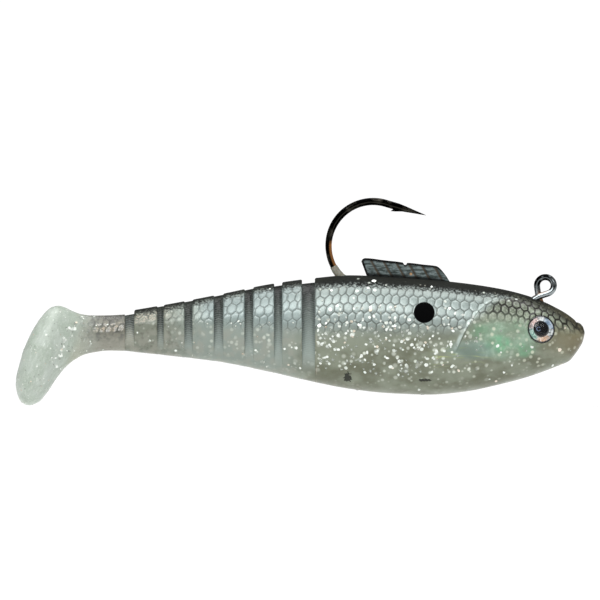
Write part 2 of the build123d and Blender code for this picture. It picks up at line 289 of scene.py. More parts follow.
def skin(name, rings, material, **attributes):
    """A closed mesh over a row of rings. An attribute has a value, or a vector, for each of their points."""
    count, around = rings.shape[:2]
    number = np.arange(count * around).reshape(count, around)
    beside = np.roll(number, -1, axis=1)
    sides = np.stack([number[:-1], number[1:], beside[1:], beside[:-1]], -1).reshape(-1, 4)
    ends = [np.stack([np.full(around, count * around), number[0], beside[0]], -1),
            np.stack([np.full(around, count * around + 1), beside[-1], number[-1]], -1)]
    points = np.vstack([rings.reshape(-1, 3), rings[0].mean(0), rings[-1].mean(0)])
    # a quarter of each side's face with the middle of the shape gives a volume, whose sign is the facing
    a, b, c = points[sides[:, 0]], points[sides[:, 1]], points[sides[:, 2]]
    turned = (np.cross(b - a, c - a) * (a - points.mean(0))).sum() < 0
    faces = [face[:, ::-1] if turned else face for face in (sides, *ends)]
    faces = [row for face in faces for row in face.tolist()]
    closed = {}
    for key, values in attributes.items():
        middles = [values[end].reshape(around, -1).mean(0) for end in (0, -1)]
        flat = np.vstack([values.reshape(count * around, -1), *middles])
        closed[key] = flat if values.ndim == 3 else flat[:, 0]
    piece = add_mesh(name, points, faces, material, **closed)
    print(f"{name}: {len(faces)} faces, {np.ptp(points, axis=0).round(2)} mm")
    return piece


# %% [markdown]
# ## The body's outline
# The trunk and the ribs share one outline: an upright oval at each place along the lure, with its back
# line, its belly line and its half width. The grooves of the tail cut that outline into ribs. The tables
# repeat the design's own driving sizes, because the frame only holds the finished solids.

# %% Stations, grooves and paint lines
BODY = [  # x, back, belly, half width
    (7.0, -8.1, -9.0, 0.45), (6.72, -7.35, -10.1, 1.2), (6.0, -6.78, -11.4, 1.95),
    (5.0, -5.98, -12.8, 2.6), (4.2, -5.35, -13.65, 3.05), (3.2, -4.7, -14.1, 3.45),
    (2.2, -4.15, -14.5, 3.8), (0.0, -3.05, -15.35, 4.5), (-3.5, -1.75, -16.55, 5.2),
    (-8.2, -0.58, -17.8, 5.9), (-14.5, 0.4, -19.1, 6.35), (-20.8, 1.05, -19.65, 6.5),
    (-28.0, 1.55, -19.4, 6.4), (-35.2, 1.85, -18.6, 6.1), (-41.5, 1.35, -17.4, 5.7),
    (-49.6, 0.25, -15.55, 4.95), (-58.6, -1.58, -13.75, 4.05), (-67.6, -3.3, -12.65, 3.2),
    (-76.0, -4.75, -11.75, 2.4),
]
GROOVES = [  # front wall, rear wall, notch in the back, depth in the flank
    (-41.5, -43.8, 0.8, 1.9), (-47.4, -48.8, 0.55, 1.6), (-52.6, -54.1, 0.25, 1.45), (-58.0, -59.6, 0.2, 1.3),
    (-63.5, -64.9, 0.2, 1.1), (-68.7, -69.8, 0.2, 0.9), (-74.0, -75.6, 0.7, 0.75),
]
SCALE_HALF_PITCH = 0.765  # half the width of a scale
SCALE_ROW = 1.72  # from one row of scales to the next
SCALE_LEAN = 0.13  # how far the pattern leans back for each millimetre down
EDGE = 0.28  # rounding of a rib's edges
SPOT = (-21.9, -4.85, 1.88)  # x, z and radius of the painted shoulder spot


def scale_pattern(u, v):
    """How near a point is to the edge of its scale: 0 in the middle and 1 on the edge. Scales are six-sided
    and stand in staggered rows that lean and wander a little, and they are smaller on the head. Such rows
    are two square lattices. In each the distance is the larger of |u| and |u| / 2 + |v| * 0.866, and the
    nearer lattice counts."""
    squeeze = 3**0.5 * SCALE_HALF_PITCH / SCALE_ROW
    v = v * (1 + 0.14 * ease(u, -13.0, -5.0))
    u = u + 0.2 * most(u + 9.0, 0.0)
    u, v = u + SCALE_LEAN * v + 0.14 * wave(1.1 * v + 0.7 * u), v + 0.12 * wave(1.3 * u)
    edges = []
    for shift in (0.0, 1.0):
        across = size_of(folded(u + shift * SCALE_HALF_PITCH, SCALE_HALF_PITCH))
        up = size_of(folded(v + shift * SCALE_ROW, SCALE_ROW)) * squeeze
        edges.append(most(across, across * 0.5 + up * 0.866) / SCALE_HALF_PITCH)
    return least(*edges)


def scale_floor(x, z):
    """The height at which the scales fade out: level on the trunk, rising along the tail, and higher on the
    cheek, in front of the gill line."""
    tail = most(-45.0 - x, 0.0) * 0.075
    cheek = ease(x - gill_line(z), -0.2, 0.5) * (ease(x, 3.5, -0.5) * 1.3 + ease(x, -4.0, -8.5) * 0.5)
    return tail + cheek - 8.1


def scale_zone(x, z, fall, fade=1.2):
    """1 where scales are painted: under the dark back and above the scales' floor, where they fade in."""
    floor = scale_floor(x, z)
    return ease(fall, 0.5, 1.3) * ease(z, floor - 1.5, floor + fade)


def spot_mask(x, z):
    """1 inside the round shoulder spot, with an edge 0.12 wide."""
    return ease((x - SPOT[0]) ** 2 + (z - SPOT[1]) ** 2, (SPOT[2] + 0.06) ** 2, (SPOT[2] - 0.06) ** 2)


def gill_line(z):
    """The x of the gill cover's rear edge at a height: a power curve that falls rearwards from the back."""
    return -6.9 - 3.75 * most(-z - 2.25, 0.001) ** 0.4


# %% Rings of the body
def body_rings(rows, around=264):
    """Rings of the outline. A row is x, how far the ring lies under the outline, and a share that shrinks it.
    Towards the belly the outline is filled up again, because the grooves run out there. Returns the rings,
    the (arc from the back, fall under the back, share of the height) of each point, and how deep each point
    lies under the outline."""
    x, under, share = np.array(rows, float).T
    back, belly, half = through(BODY, x).T
    middle, reach = (back + belly) / 2, ((back - belly) / 2 - under) * share
    top = np.stack([x, middle + reach], -1)
    bottom = np.stack([x, middle - reach], -1)
    rings = ovals(top, bottom, (half - under) * share, around)
    wrap = wrap_of(rings, back, belly)
    full = ovals(np.stack([x, back], -1), np.stack([x, belly], -1), half, around)
    filled = (ease(wrap[..., 2], 0.6, 0.92) * (share == 1)[:, None])[..., None]
    rings = rings + (full - rings) * filled
    deep = (under + (1 - share) * half)[:, None] * (1 - filled[..., 0])
    return rings, wrap, deep


def wrap_of(rings, back, belly):
    """Each point's arc from the back, its fall under the back, and that fall as a share of the height."""
    side = np.linalg.norm(np.roll(rings, -1, 1) - rings, axis=-1)
    arc = np.cumsum(side, axis=1) - side
    arc = np.minimum(arc, side.sum(1, keepdims=True) - arc)
    fall = back[:, None] - rings[..., 2]
    return np.stack([arc, fall, fall / (back - belly)[:, None]], -1)


def wall(x, inwards):
    """Rows of a wall at x, from the outline to its middle: a quarter round of radius EDGE, then flat."""
    turn = np.radians([10, 30, 50, 70, 90])
    rounding = [(x + inwards * EDGE * (1 - np.sin(a)), EDGE * (1 - np.cos(a)), 1.0) for a in turn]
    return rounding + [(x, EDGE, share) for share in (0.93, 0.8, 0.6, 0.35, 0.12)]


def flank(front, rear, step):
    """Rows of the outline itself between two places."""
    return [(x, 0.0, 1.0) for x in np.linspace(front, rear, int(round((front - rear) / step)) + 1)]


def relieved(rings, wrap, deep):
    """The rings with their relief: each scale's edge is sunk, the gill cover stands proud behind the cheek,
    and the lip has a low ridge. Nothing is added where the surface lies deep in a groove."""
    x, z = rings[..., 0], rings[..., 2]
    arc, fall, share = (wrap[..., k] for k in range(3))
    scales = -0.055 * ease(scale_pattern(x, arc), 0.72, 1.0) * scale_zone(x, z, fall)
    scales = scales * (1 - spot_mask(x, z))
    step = x - gill_line(z)
    gill = 0.16 * ease(step, -0.25, 0.1) * ease(step, 4.5, 0.4) * ease(z, -2.2, -3.0) * ease(z, -13.0, -11.0)
    lip = 0.1 * np.exp(-(((x - 6.2) / 0.3) ** 2)) - 0.16 * np.exp(-(((x - 5.6) / 0.16) ** 2))
    lip = lip * ease(share, 0.5, 0.1)
    outside = ease(deep, 0.12, 0.0)[..., None]
    return rings + outward(rings) * (scales + gill + lip)[..., None] * outside


# %% [markdown]
# ## Clear plastic, silver scales and glitter
# The body is one pour of clear plastic with smoke-coloured dye. Airbrush paint lies on it in layers: a
# nearly black back, silver through a net of scales, an olive head and a green flash on the cheek. Each
# layer below is a mask on the rest position, mixed over the one before, as the airbrush does it. Some
# layers paint light and shade instead: glints of flakes, light at the belly's thin edge, and shade in the
# mouth's crease and in the grooves. Glitter near the surface is real geometry later on; the flakes that lie
# deeper are soft blobs of light in this material.

# %% The body's finish
def flake_blobs(finish, place, pitch, keep, radius):
    """Soft round lights: a blob round the centre of each Voronoi cell, of which a random share is kept."""
    settings = {"feature": "F1"}
    inputs = {"Vector": place, "Scale": 1.0 / pitch, "Randomness": 1.0}
    near = finish.node("ShaderNodeTexVoronoi", settings, inputs, "Distance")
    chance, bright, _ = finish.node("ShaderNodeTexVoronoi", settings, inputs, "Color").parts()
    kept = ease(chance, 1 - keep, 1 - keep + 0.04)
    return ease(near, radius, radius * 0.35) * kept * (0.35 + 0.65 * bright)


def plastic(finish, place, x, z, share):
    """The dyed plastic's colour: mottled smoke and browner on the snout, with painted light making the
    belly's thin edge paler.
    """
    cloud = finish.noise(finish.stretched(place, (1.0, 1.0, 1.6)), 4.5, 3.0)
    fine = finish.noise(place, 0.9, 3.0)
    colour = finish.mix(ease(cloud, 0.35, 0.65), paint(92, 95, 74), paint(124, 131, 113))
    colour = colour.sprayed(ease(x, -8.0, -16.0) * ease(z, -12.0, -7.0) * 0.5, 134, 143, 132)
    colour = colour.sprayed(ease(x, -40.0, -50.0) * 0.85, 136, 148, 141)
    colour = colour.sprayed(ease(x, -61.0, -71.0) * 0.9, 110, 114, 100)
    colour = colour.sprayed(fine * 0.2, 160, 166, 154)
    colour = colour.sprayed(ease(x, -3.0, 5.5) * ease(z, -14.5, -10.0) * 0.8, 118, 110, 84)
    # painted light: a paler band along the belly's edge, where light shines through the thin plastic
    return finish.mix(ease(share, 0.9, 1.0) * ease(x, -75.0, -50.0) * 0.25, colour, paint(140, 144, 130))


class Point:
    """Where a point of the body lies, and the noises and masks that several layers share."""

    def __init__(self, finish):
        self.place = finish.attribute("place")
        self.x, _, self.z = self.place.parts()
        self.arc, self.fall, self.share = finish.attribute("wrap").parts()
        self.deep = finish.number("deep")
        self.cloudy = finish.noise(self.place, 1.6, 2.0)
        self.wear_and_highlight = finish.noise(self.place, 1.7, 2.0)
        self.grain = finish.noise(self.place, 0.22, 1.0)
        self.mottle = finish.noise(self.place, 0.4, 2.0, 0.6)
        self.ragged = finish.noise(self.place, 0.42, 2.0)
        self.head = ease(self.x - gill_line(self.z), -0.4, 2.6)
        self.tail = ease(self.x, -41.0, -47.0)


def stained(finish, at, colour):
    """Brown stains on the last ribs, and a dull grey low on all of them."""
    place, x, share = at.place, at.x, at.share
    stain = ease(finish.noise(place, 0.8, 2.0), 0.5, 0.68) * ease(x, -60.0, -69.0) * ease(share, 0.1, 0.3)
    colour = colour.sprayed(stain * 0.45, 74, 72, 58)
    dull = ease(finish.noise(place, 1.5, 2.0), 0.4, 0.62) * ease(x, -42.0, -46.0) * ease(share, 0.35, 0.6)
    colour = colour.sprayed(dull * 0.4, 152, 152, 140)
    return colour


def deep_glitter(finish, at, colour):
    """Painted glints: soft blobs of light from flakes that lie deep in the plastic."""
    place, x, z, share = at.place, at.x, at.z, at.share
    glow = flake_blobs(finish, place, 1.15, 0.6, 0.36) + flake_blobs(finish, place, 0.8, 0.35, 0.36) * 0.8
    glow = least(glow + flake_blobs(finish, place, 1.5, 0.4, 0.4) * 0.6, 1.0)
    trunk_only = ease(x, -78.0, -45.0) * 0.5 + 0.5 * ease(x, -44.5, -41.5)
    glitter = ease(z, -1.5, -5.5) * ease(share, 0.97, 0.8) * (0.25 + 0.75 * trunk_only) * ease(x, 4.0, -14.0)
    # painted glints of deep flakes, strongest low on the trunk
    colour = colour.sprayed(glow * (0.12 + 0.85 * glitter), 216, 222, 210)
    return colour


def cheek_flash(finish, at, colour):
    """The green flash of the foil that shows through the cheek, with streaks and threads below it."""
    place, x, z, share, cloudy = at.place, at.x, at.z, at.share, at.cloudy
    sheen = finish.noise(finish.stretched(place, (0.6, 1.0, 1.0), (0.0, 0.5, 0.0)), 3.2, 2.0)
    cheek = ease(from_middle_of(x, z, -7.0, -9.6, 7.5, 4.6), 1.05, 0.25)
    colour = colour.sprayed(cheek * (0.35 + 0.5 * ease(sheen, 0.4, 0.7)), 140, 168, 146)
    shimmer = finish.noise(place, 0.9, 3.0, 0.6)
    colour = colour.sprayed(cheek * ease(shimmer, 0.5, 0.7) * 0.35, 184, 196, 176)
    colour = colour.sprayed(cheek * ease(shimmer, 0.5, 0.32) * 0.35, 108, 124, 104)
    jades = (  # x, z, reach in x, reach in z, strength
        (-8.5, -10.6, 3.0, 2.1, 0.75), (-12.3, -8.0, 2.2, 1.8, 0.3),
        (-4.0, -11.6, 2.4, 1.6, 0.45), (-4.6, -6.6, 2.2, 1.3, 0.25),
    )
    for *oval, strength in jades:
        jade = ease(from_middle_of(x, z, *oval), 1.0, 0.0)
        jade = jade * strength * (0.35 + 0.65 * ease(cloudy, 0.38, 0.62))
        colour = colour.sprayed(jade, 102, 172, 130)
    teal = ease(from_middle_of(x, z, -13.5, -11.6, 5.5, 2.2), 1.0, 0.1)
    colour = colour.sprayed(teal * (0.2 + 0.4 * sheen), 122, 154, 148)
    # painted glints: soft blobs of light from deep flakes on the upper cheek
    soft = flake_blobs(finish, place, 1.15, 0.55, 0.38)
    bokeh = ease(x, -16.0, -10.0) * ease(z, -4.5, -7.0) * ease(share, 0.97, 0.85)
    colour = colour.sprayed(soft * bokeh * 0.75, 206, 208, 186)
    streaks = finish.noise(finish.stretched(place, (0.35, 1.0, 3.2), (0.0, 0.35, 0.0)), 1.3, 2.0)
    foil = ease(from_middle_of(x, z, -16.5, -12.8, 6.5, 2.6), 1.0, 0.2) * ease(streaks, 0.55, 0.68)
    colour = colour.sprayed(foil * 0.5, 138, 150, 96)
    for height, bend in ((-12.5, 0.9), (-13.4, 1.3), (-14.3, 0.7)):
        drift = z - height + bend * ((x + 15.0) / 6.0) ** 2 - 0.8 * (streaks - 0.5)
        thread = ease(size_of(drift), 0.14, 0.03) * ease(size_of(x + 15.5), 6.5, 3.0) * ease(sheen, 0.35, 0.6)
        colour = colour.sprayed(thread * 0.5, 176, 186, 120)
    return colour


def scale_paint(finish, at, colour):
    """Silver scales in a dark net, olive on the head. Returns the colour, the net and where it is painted."""
    x, z, arc, fall = at.x, at.z, at.arc, at.fall
    head, tail, wear_and_highlight, grain, mottle = at.head, at.tail, at.wear_and_highlight, at.grain, at.mottle
    lower = ease(z, -4.0, -8.0)
    cell = scale_pattern(x, arc)
    net = ease(cell, 0.8 - 0.15 * head + 0.04 * tail - 0.06 * lower, 0.97 - 0.07 * head + 0.02 * tail)
    silver = finish.mix(wear_and_highlight * 0.55 + grain * 0.45, paint(108, 121, 118), paint(186, 199, 196))
    silver = silver.sprayed(ease(fall, 4.6, 1.4) * 0.55, 92, 98, 94)
    silver = silver.sprayed(tail * 0.3, 136, 154, 156)
    pale = ease(mottle, 0.35, 0.65) * 0.55 + ease(z, -3.0, -6.5) * 0.45
    olive = finish.mix(pale, paint(84, 90, 78), paint(164, 175, 156))
    ring = ease(size_of(cell - 0.62), 0.12, 0.03) * ease(mottle, 0.4, 0.6)
    olive = olive.sprayed(ring * 0.4, 170, 178, 162)
    olive = olive.sprayed(ease(fall, 2.6, 1.1) * 0.75, 56, 55, 46)
    fill = finish.mix(head, silver, olive)
    low_cheek = ease(z, -4.2, -6.2) * ease(x, -2.0, -7.0)
    head_line = finish.mix(low_cheek, paint(30, 30, 22), paint(98, 110, 92))
    line = finish.mix(head, finish.mix(lower, paint(92, 101, 96), paint(66, 72, 64)), head_line)
    painted = scale_zone(x, z, fall)
    colour = finish.mix(scale_zone(x, z, fall, 2.2) * (0.92 - 0.75 * ease(x, -60.0, -64.0)), colour, fill)
    tail_net = 1 - 0.75 * ease(x, -59.0, -64.0) + 0.6 * ease(x, -68.5, -70.5) * ease(fall, 2.6, 1.8)
    worn_net = net * painted * ease(wear_and_highlight + 0.5 * painted, 0.5, 0.8) * tail_net
    colour = finish.mix(worn_net * (0.8 + 0.2 * head - 0.25 * tail), colour, line)
    # painted glints: a row of peach-white light on the scale cells under the back of the last ribs
    peach_glints = ease(size_of(fall - 1.7), 1.0, 0.5) * (1 - net) * ease(x, -66.0, -70.0) * ease(grain, 0.4, 0.6)
    colour = colour.sprayed(peach_glints * 0.55, 186, 174, 156)
    return colour, net, painted


def gill_edge(at, colour):
    """The gill cover's edge: a bright crescent behind a thin dark line."""
    x, z, wear_and_highlight = at.x, at.z, at.wear_and_highlight
    step = x - gill_line(z)
    reach = ease(z, -2.0, -2.9) * ease(z, -12.6, -9.5)
    crescent = ease(step, -1.0, -0.4) * ease(step, 0.02, -0.12) * reach * (0.35 + ease(wear_and_highlight, 0.35, 0.6))
    colour = colour.sprayed(crescent * (0.3 + 0.35 * ease(z, -4.0, -6.5)), 186, 200, 194)
    colour = colour.sprayed(ease(size_of(step - 0.08), 0.2, 0.05) * reach * 0.6, 70, 82, 70)
    return colour


def back_spray(finish, at, colour):
    """The sprayed back with its soft and uneven edge, painted shade in the mouth's crease and painted glints
    of flakes just under the back. Returns the colour and the spray's mask."""
    place, x, fall, share, grain, mottle = at.place, at.x, at.fall, at.share, at.grain, at.mottle
    spray = finish.noise(finish.stretched(place, (0.5, 1.0, 1.0)), 1.4, 3.0, 0.6)
    thin = ease(x, -40.5, -43.0) * 0.75 + ease(x, -46.0, -58.0) * 0.25 + ease(x, -13.0, -5.0) * 0.85
    depth = 1.0 + 0.7 * spray + 0.8 * ease(mottle, 0.3, 0.7) - thin
    back = ease(fall, depth + 0.55 + 0.35 * thin, depth - 0.5)
    black = finish.mix(grain, paint(9, 10, 8), paint(30, 32, 28))
    colour = finish.mix(back * (0.97 - 0.25 * ease(x, -2.0, 4.0)), colour, black)
    # painted shade: the dip of the mouth's crease is darkened
    crease_shade = ease(size_of(x - 5.6), 0.3, 0.08) * ease(share, 0.3, 0.1)
    colour = colour.sprayed(crease_shade * 0.7, 16, 15, 12)
    # painted glints: small pale blobs of light from flakes in a band just under the back
    flake_glints = flake_blobs(finish, place, 0.9, 0.2, 0.26) * ease(fall, 0.5, 1.2) * ease(fall, 3.2, 2.0)
    colour = colour.sprayed(flake_glints * 0.6, 176, 176, 164)
    return colour, back


def small_marks(at, colour):
    """The shoulder spot, two small flaws in the belly and the seam before the first groove. Returns the
    colour and the spot's mask."""
    x, z, ragged, wear_and_highlight, cloudy = at.x, at.z, at.ragged, at.wear_and_highlight, at.cloudy
    spot = spot_mask(x, z)
    colour = colour.sprayed(spot, 5, 5, 6)
    for oval in ((-35.6, -16.5, 0.8, 0.95), (-21.8, -17.0, 1.2, 0.3)):
        near = from_middle_of(x, z, *oval)
        colour = colour.sprayed(ease(near + 3.4 * (0.52 - ragged), 1.0, 0.6), 34, 38, 26)
    seam = ease(size_of(x + 41.2), 0.16, 0.05) * ease(z, -8.0, -10.5) * ease(wear_and_highlight, 0.35, 0.5)
    colour = colour.sprayed(seam * 0.3 * ease(cloudy, 0.4, 0.6), 196, 182, 170)
    return colour, spot


def groove_shade(finish, at):
    """The colour inside the grooves: bare plastic in shade, with fine tool marks."""
    x, share, ragged = at.x, at.share, at.ragged
    aside, ridge, _ = finish.attribute("band").parts()
    marks = ease(size_of(folded(ridge + 0.25 * ragged, 0.2)), 0.02, 0.16)
    rearwards = ease(x, -46.0, -70.0)
    downwards = ease(share - 0.1 * rearwards, 0.07, 0.54)
    groove = finish.mix(downwards, paint(9, 11, 10), paint(130, 140, 134))
    groove = groove.sprayed(ease(share, 0.45, 0.9), 146, 157, 150)
    groove = groove.sprayed(rearwards * ease(share, 1.0, 0.4) * 0.62, 48, 53, 45)
    groove = groove.sprayed(ease(x, -66.0, -75.0) * ease(share, 0.25, 0.7) * 0.85, 152, 152, 138)
    groove = groove.sprayed(ease(aside, 0.35, 1.0) * ease(share, 0.85, 0.4) * 0.6, 50, 57, 53)
    marks = marks * ease(share, 0.0, 0.45) * ease(share, 1.0, 0.6)
    groove = groove.sprayed(marks * 0.2, 158, 172, 170)
    return groove


def soft_body():
    """The whole finish. Each layer goes over the one before. The masks also set metal, gloss and relief."""
    finish = Finish("painted_plastisol", roughness=0.34, ior=1.47, coat_roughness=0.1,
                    subsurface_weight=0.12, subsurface_scale=0.6 * MM)
    finish.shader.inputs["Subsurface Radius"].default_value = (1.0, 0.95, 0.8)
    at = Point(finish)
    colour = plastic(finish, at.place, at.x, at.z, at.share)
    for layer in (stained, deep_glitter, cheek_flash):
        colour = layer(finish, at, colour)
    colour, net, painted = scale_paint(finish, at, colour)
    colour = gill_edge(at, colour)
    colour, back = back_spray(finish, at, colour)
    colour, spot = small_marks(at, colour)
    in_groove = ease(at.deep, 0.12, 0.28) * ease(at.share, 0.98, 0.7)
    colour = finish.mix(in_groove, colour, groove_shade(finish, at))

    shine = painted * (1 - net) * (1 - spot) * (1 - back) * ease(at.deep, 0.3, 0.1)
    orange_peel = finish.noise(at.place, 0.35, 2.0)
    finish.set(base_color=colour, specular_level=0.3,
               metallic=shine * (0.3 - 0.22 * at.head - 0.08 * at.tail) + spot * 0.85 + back * 0.4,
               roughness=0.42 - 0.12 * shine + 0.1 * (orange_peel - 0.5) + 0.3 * most(spot, back),
               coat_weight=(0.35 - 0.15 * ease(at.deep, 0.1, 0.3)) * (1 - spot) * (1 - 0.97 * back),
               normal=finish.bump(orange_peel * 0.35 - net * painted * (1 - spot) * 0.9, 0.05))
    return finish.material


PLASTISOL = soft_body()
print("body finish:", len(PLASTISOL.node_tree.nodes), "nodes")

# %% [markdown]
# ## The trunk
# The trunk is the largest piece: rings every fifth of a millimetre, fine enough to carry the relief of each
# scale. Its eye sockets are not cut with a boolean, which would leave ragged faces. Instead the points near
# the rim of each socket are slid onto a circle and those inside it are sunk under the eye.

# %% Where the eyes sit
class Seat:
    """The plane of an eye, read from its foil disc in the frame: the middle, the direction that it looks in,
    and the two directions across it, in millimetres."""

    def __init__(self, side):
        mesh = frame["nodes"][f"eye_foil_{side}"].data
        points = np.zeros(len(mesh.vertices) * 3)
        mesh.vertices.foreach_get("co", points)
        points = points.reshape(-1, 3) / MM
        self.middle = (points.min(0) + points.max(0)) / 2
        spread = points - self.middle
        self.out = np.linalg.svd(spread, full_matrices=False)[2][2]
        self.out *= np.sign(self.out[1]) * (1 if side == "left" else -1)
        self.up = np.array([0, 0, 1.0]) - self.out * self.out[2]
        self.up /= np.linalg.norm(self.up)
        self.ahead = np.cross(self.up, self.out)
        self.ahead *= np.sign(self.ahead[0])
        self.radius = np.linalg.norm(spread - np.outer(spread @ self.out, self.out), axis=1).max()
        print(f"{side} eye: radius {self.radius:.2f} mm, looks along {self.out.round(3)}")

    def place(self, ahead, up, out):
        """A point ahead, up and out of the middle of the foil."""
        across = ahead[..., None] * self.ahead + up[..., None] * self.up
        return self.middle + across + out[..., None] * self.out


SEATS = {side: Seat(side) for side in ("left", "right")}
SOCKET_GAP = 0.08  # from the eye's edge to the socket's
SOCKET_DEPTH = 0.55  # under the foil
SOCKET_SLIDE = 0.12  # points this near the rim slide onto it
LID_RISE, LID_AWAY, LID_WIDTH = 0.16, 0.35, 0.4  # height, distance from the rim, half width


def with_sockets(rings):
    """Points within SOCKET_SLIDE of a socket's rim slide onto it, and a low lid rises round it. Points inside
    are put on a plane under the eye, so that a steep wall one face wide joins them to the rim."""
    for seat in SEATS.values():
        offset = rings - seat.middle
        out = offset @ seat.out
        flat = offset - out[..., None] * seat.out
        radius = np.linalg.norm(flat, axis=-1) + 1e-9
        rim = seat.radius + SOCKET_GAP
        near = (out > -3) & (radius < rim + 2)
        lid = LID_RISE * np.exp(-(((radius - rim - LID_AWAY) / LID_WIDTH) ** 2)) * near
        rings = rings + lid[..., None] * seat.out
        slide = near & (np.abs(radius - rim) < SOCKET_SLIDE)
        onto_rim = flat / radius[..., None] * (rim - radius)[..., None]
        rings = np.where(slide[..., None], rings + onto_rim, rings)
        sunk = near & (radius <= rim - SOCKET_SLIDE)
        floor = seat.middle + flat - SOCKET_DEPTH * seat.out
        rings = np.where(sunk[..., None], floor, rings)
    return rings


# %% Trunk
TRUNK_STEP, NOSE_STEP, RIB_STEP = 0.2, 0.08, 0.14  # from ring to ring
blunt_tip = [(7.06, 0.0, 0.45), (7.04, 0.0, 0.8)]
nose = blunt_tip + flank(7.0, 6.6, NOSE_STEP)
rows = nose + flank(6.45, GROOVES[0][0] + EDGE + 0.1, TRUNK_STEP) + wall(GROOVES[0][0], 1)
rings, wrap, deep = body_rings(rows)
trunk_rings = relieved(rings, wrap, deep)
trunk_skin = skin("trunk_skin", with_sockets(trunk_rings), PLASTISOL, wrap=wrap, deep=deep)
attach(trunk_skin, "trunk_body")
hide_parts("trunk")

# %% [markdown]
# ## Ribs and webs
# A rib is the same outline between two grooves, with rounded edges and flat walls. The web that joins two
# ribs is a piece of its own, and here it stays where it is made: in the real tail it is the only part that
# really bends, while the ribs stay stiff. It is thin under the back, full at the belly, and ribbed with fine
# tool marks.

# %% Ribs
glitter_beds = [("trunk", "trunk_body", trunk_rings, wrap, deep)]
for number in range(1, len(GROOVES)):
    front, rear = GROOVES[number - 1][1], GROOVES[number][0]
    rows = wall(front, -1)[::-1] + flank(front - EDGE - 0.05, rear + EDGE + 0.05, RIB_STEP) + wall(rear, 1)
    rings, wrap, deep = body_rings(rows, 240)
    rings = relieved(rings, wrap, deep)
    rib = skin(f"rib_{number}_skin", rings, PLASTISOL, wrap=wrap, deep=deep)
    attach(rib, f"rib_{number}_body")
    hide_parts(f"rib_{number}")
    glitter_beds.append((f"rib_{number}", f"rib_{number}_body", rings, wrap, deep))

# %% Webs
WEB_TUCK = 0.5  # how far a web's ends lie past the groove's walls, inside its neighbours
RIDGE, RIDGE_PITCH = 0.02, 0.4


def web_rings(front, rear, notch, depth):
    """Rings of the outline, lowered by the notch and pulled in by the depth. The depth fades to nothing at
    the belly, and fine ridges run along the flank: depth + RIDGE * sin(2 pi v / RIDGE_PITCH), where v is
    the height plus a third of the distance from the groove's middle, which bends each into a low chevron."""
    x = np.linspace(front + WEB_TUCK, rear - WEB_TUCK, 26)
    back, belly, half = through(BODY, x).T
    rings = ovals(np.stack([x, back - notch], -1), np.stack([x, belly + 0.03], -1), half, 420)
    wrap = wrap_of(rings, back, belly)
    fade = 1 - ease(wrap[..., 2], 0.42, 0.97)
    from_middle = (x - (front + rear) / 2) / (front - rear)
    saddle = 0.82 + 0.18 * np.cos(np.pi * np.clip(from_middle, -0.5, 0.5))[:, None]
    aside = np.abs(x - (front + rear) / 2)[:, None] + 0 * rings[..., 0]
    ridge = rings[..., 2] + aside / 3
    ridges = RIDGE * (1 + np.sin(2 * np.pi * ridge / RIDGE_PITCH))
    pull = depth * fade * saddle + 0.03 + ridges * (fade * 0.9 + 0.1)
    pull += 0.6 * np.maximum(aside - (front - rear) / 2, 0)  # the ends slip under their neighbours
    rings[..., 1] *= np.clip(1 - pull / half[:, None], 0.1, 1)
    band = np.stack([2 * aside / (front - rear), ridge, ridge], -1)
    return rings, wrap, 0.3 + 0 * pull, band


for number, (front, rear, notch, depth) in enumerate(GROOVES):
    rings, wrap, deep, band = web_rings(front, rear, notch, depth)
    web = skin(f"web_{number + 1}", rings, PLASTISOL, wrap=wrap, deep=deep, band=band)
    height = rings[..., 2].mean() * MM
    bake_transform(web)

# %% [markdown]
# ## Stalk and paddle
# Behind the last groove the tail is a thin stalk that turns down into a boot. Its sections start upright
# and lean more and more until they are slices of the paddle, so each ring is an oval between a point of the
# top line and a point of the bottom line. The plastic here is nearly clear and milky, with only a breath of
# smoke from the back spray at its front end.

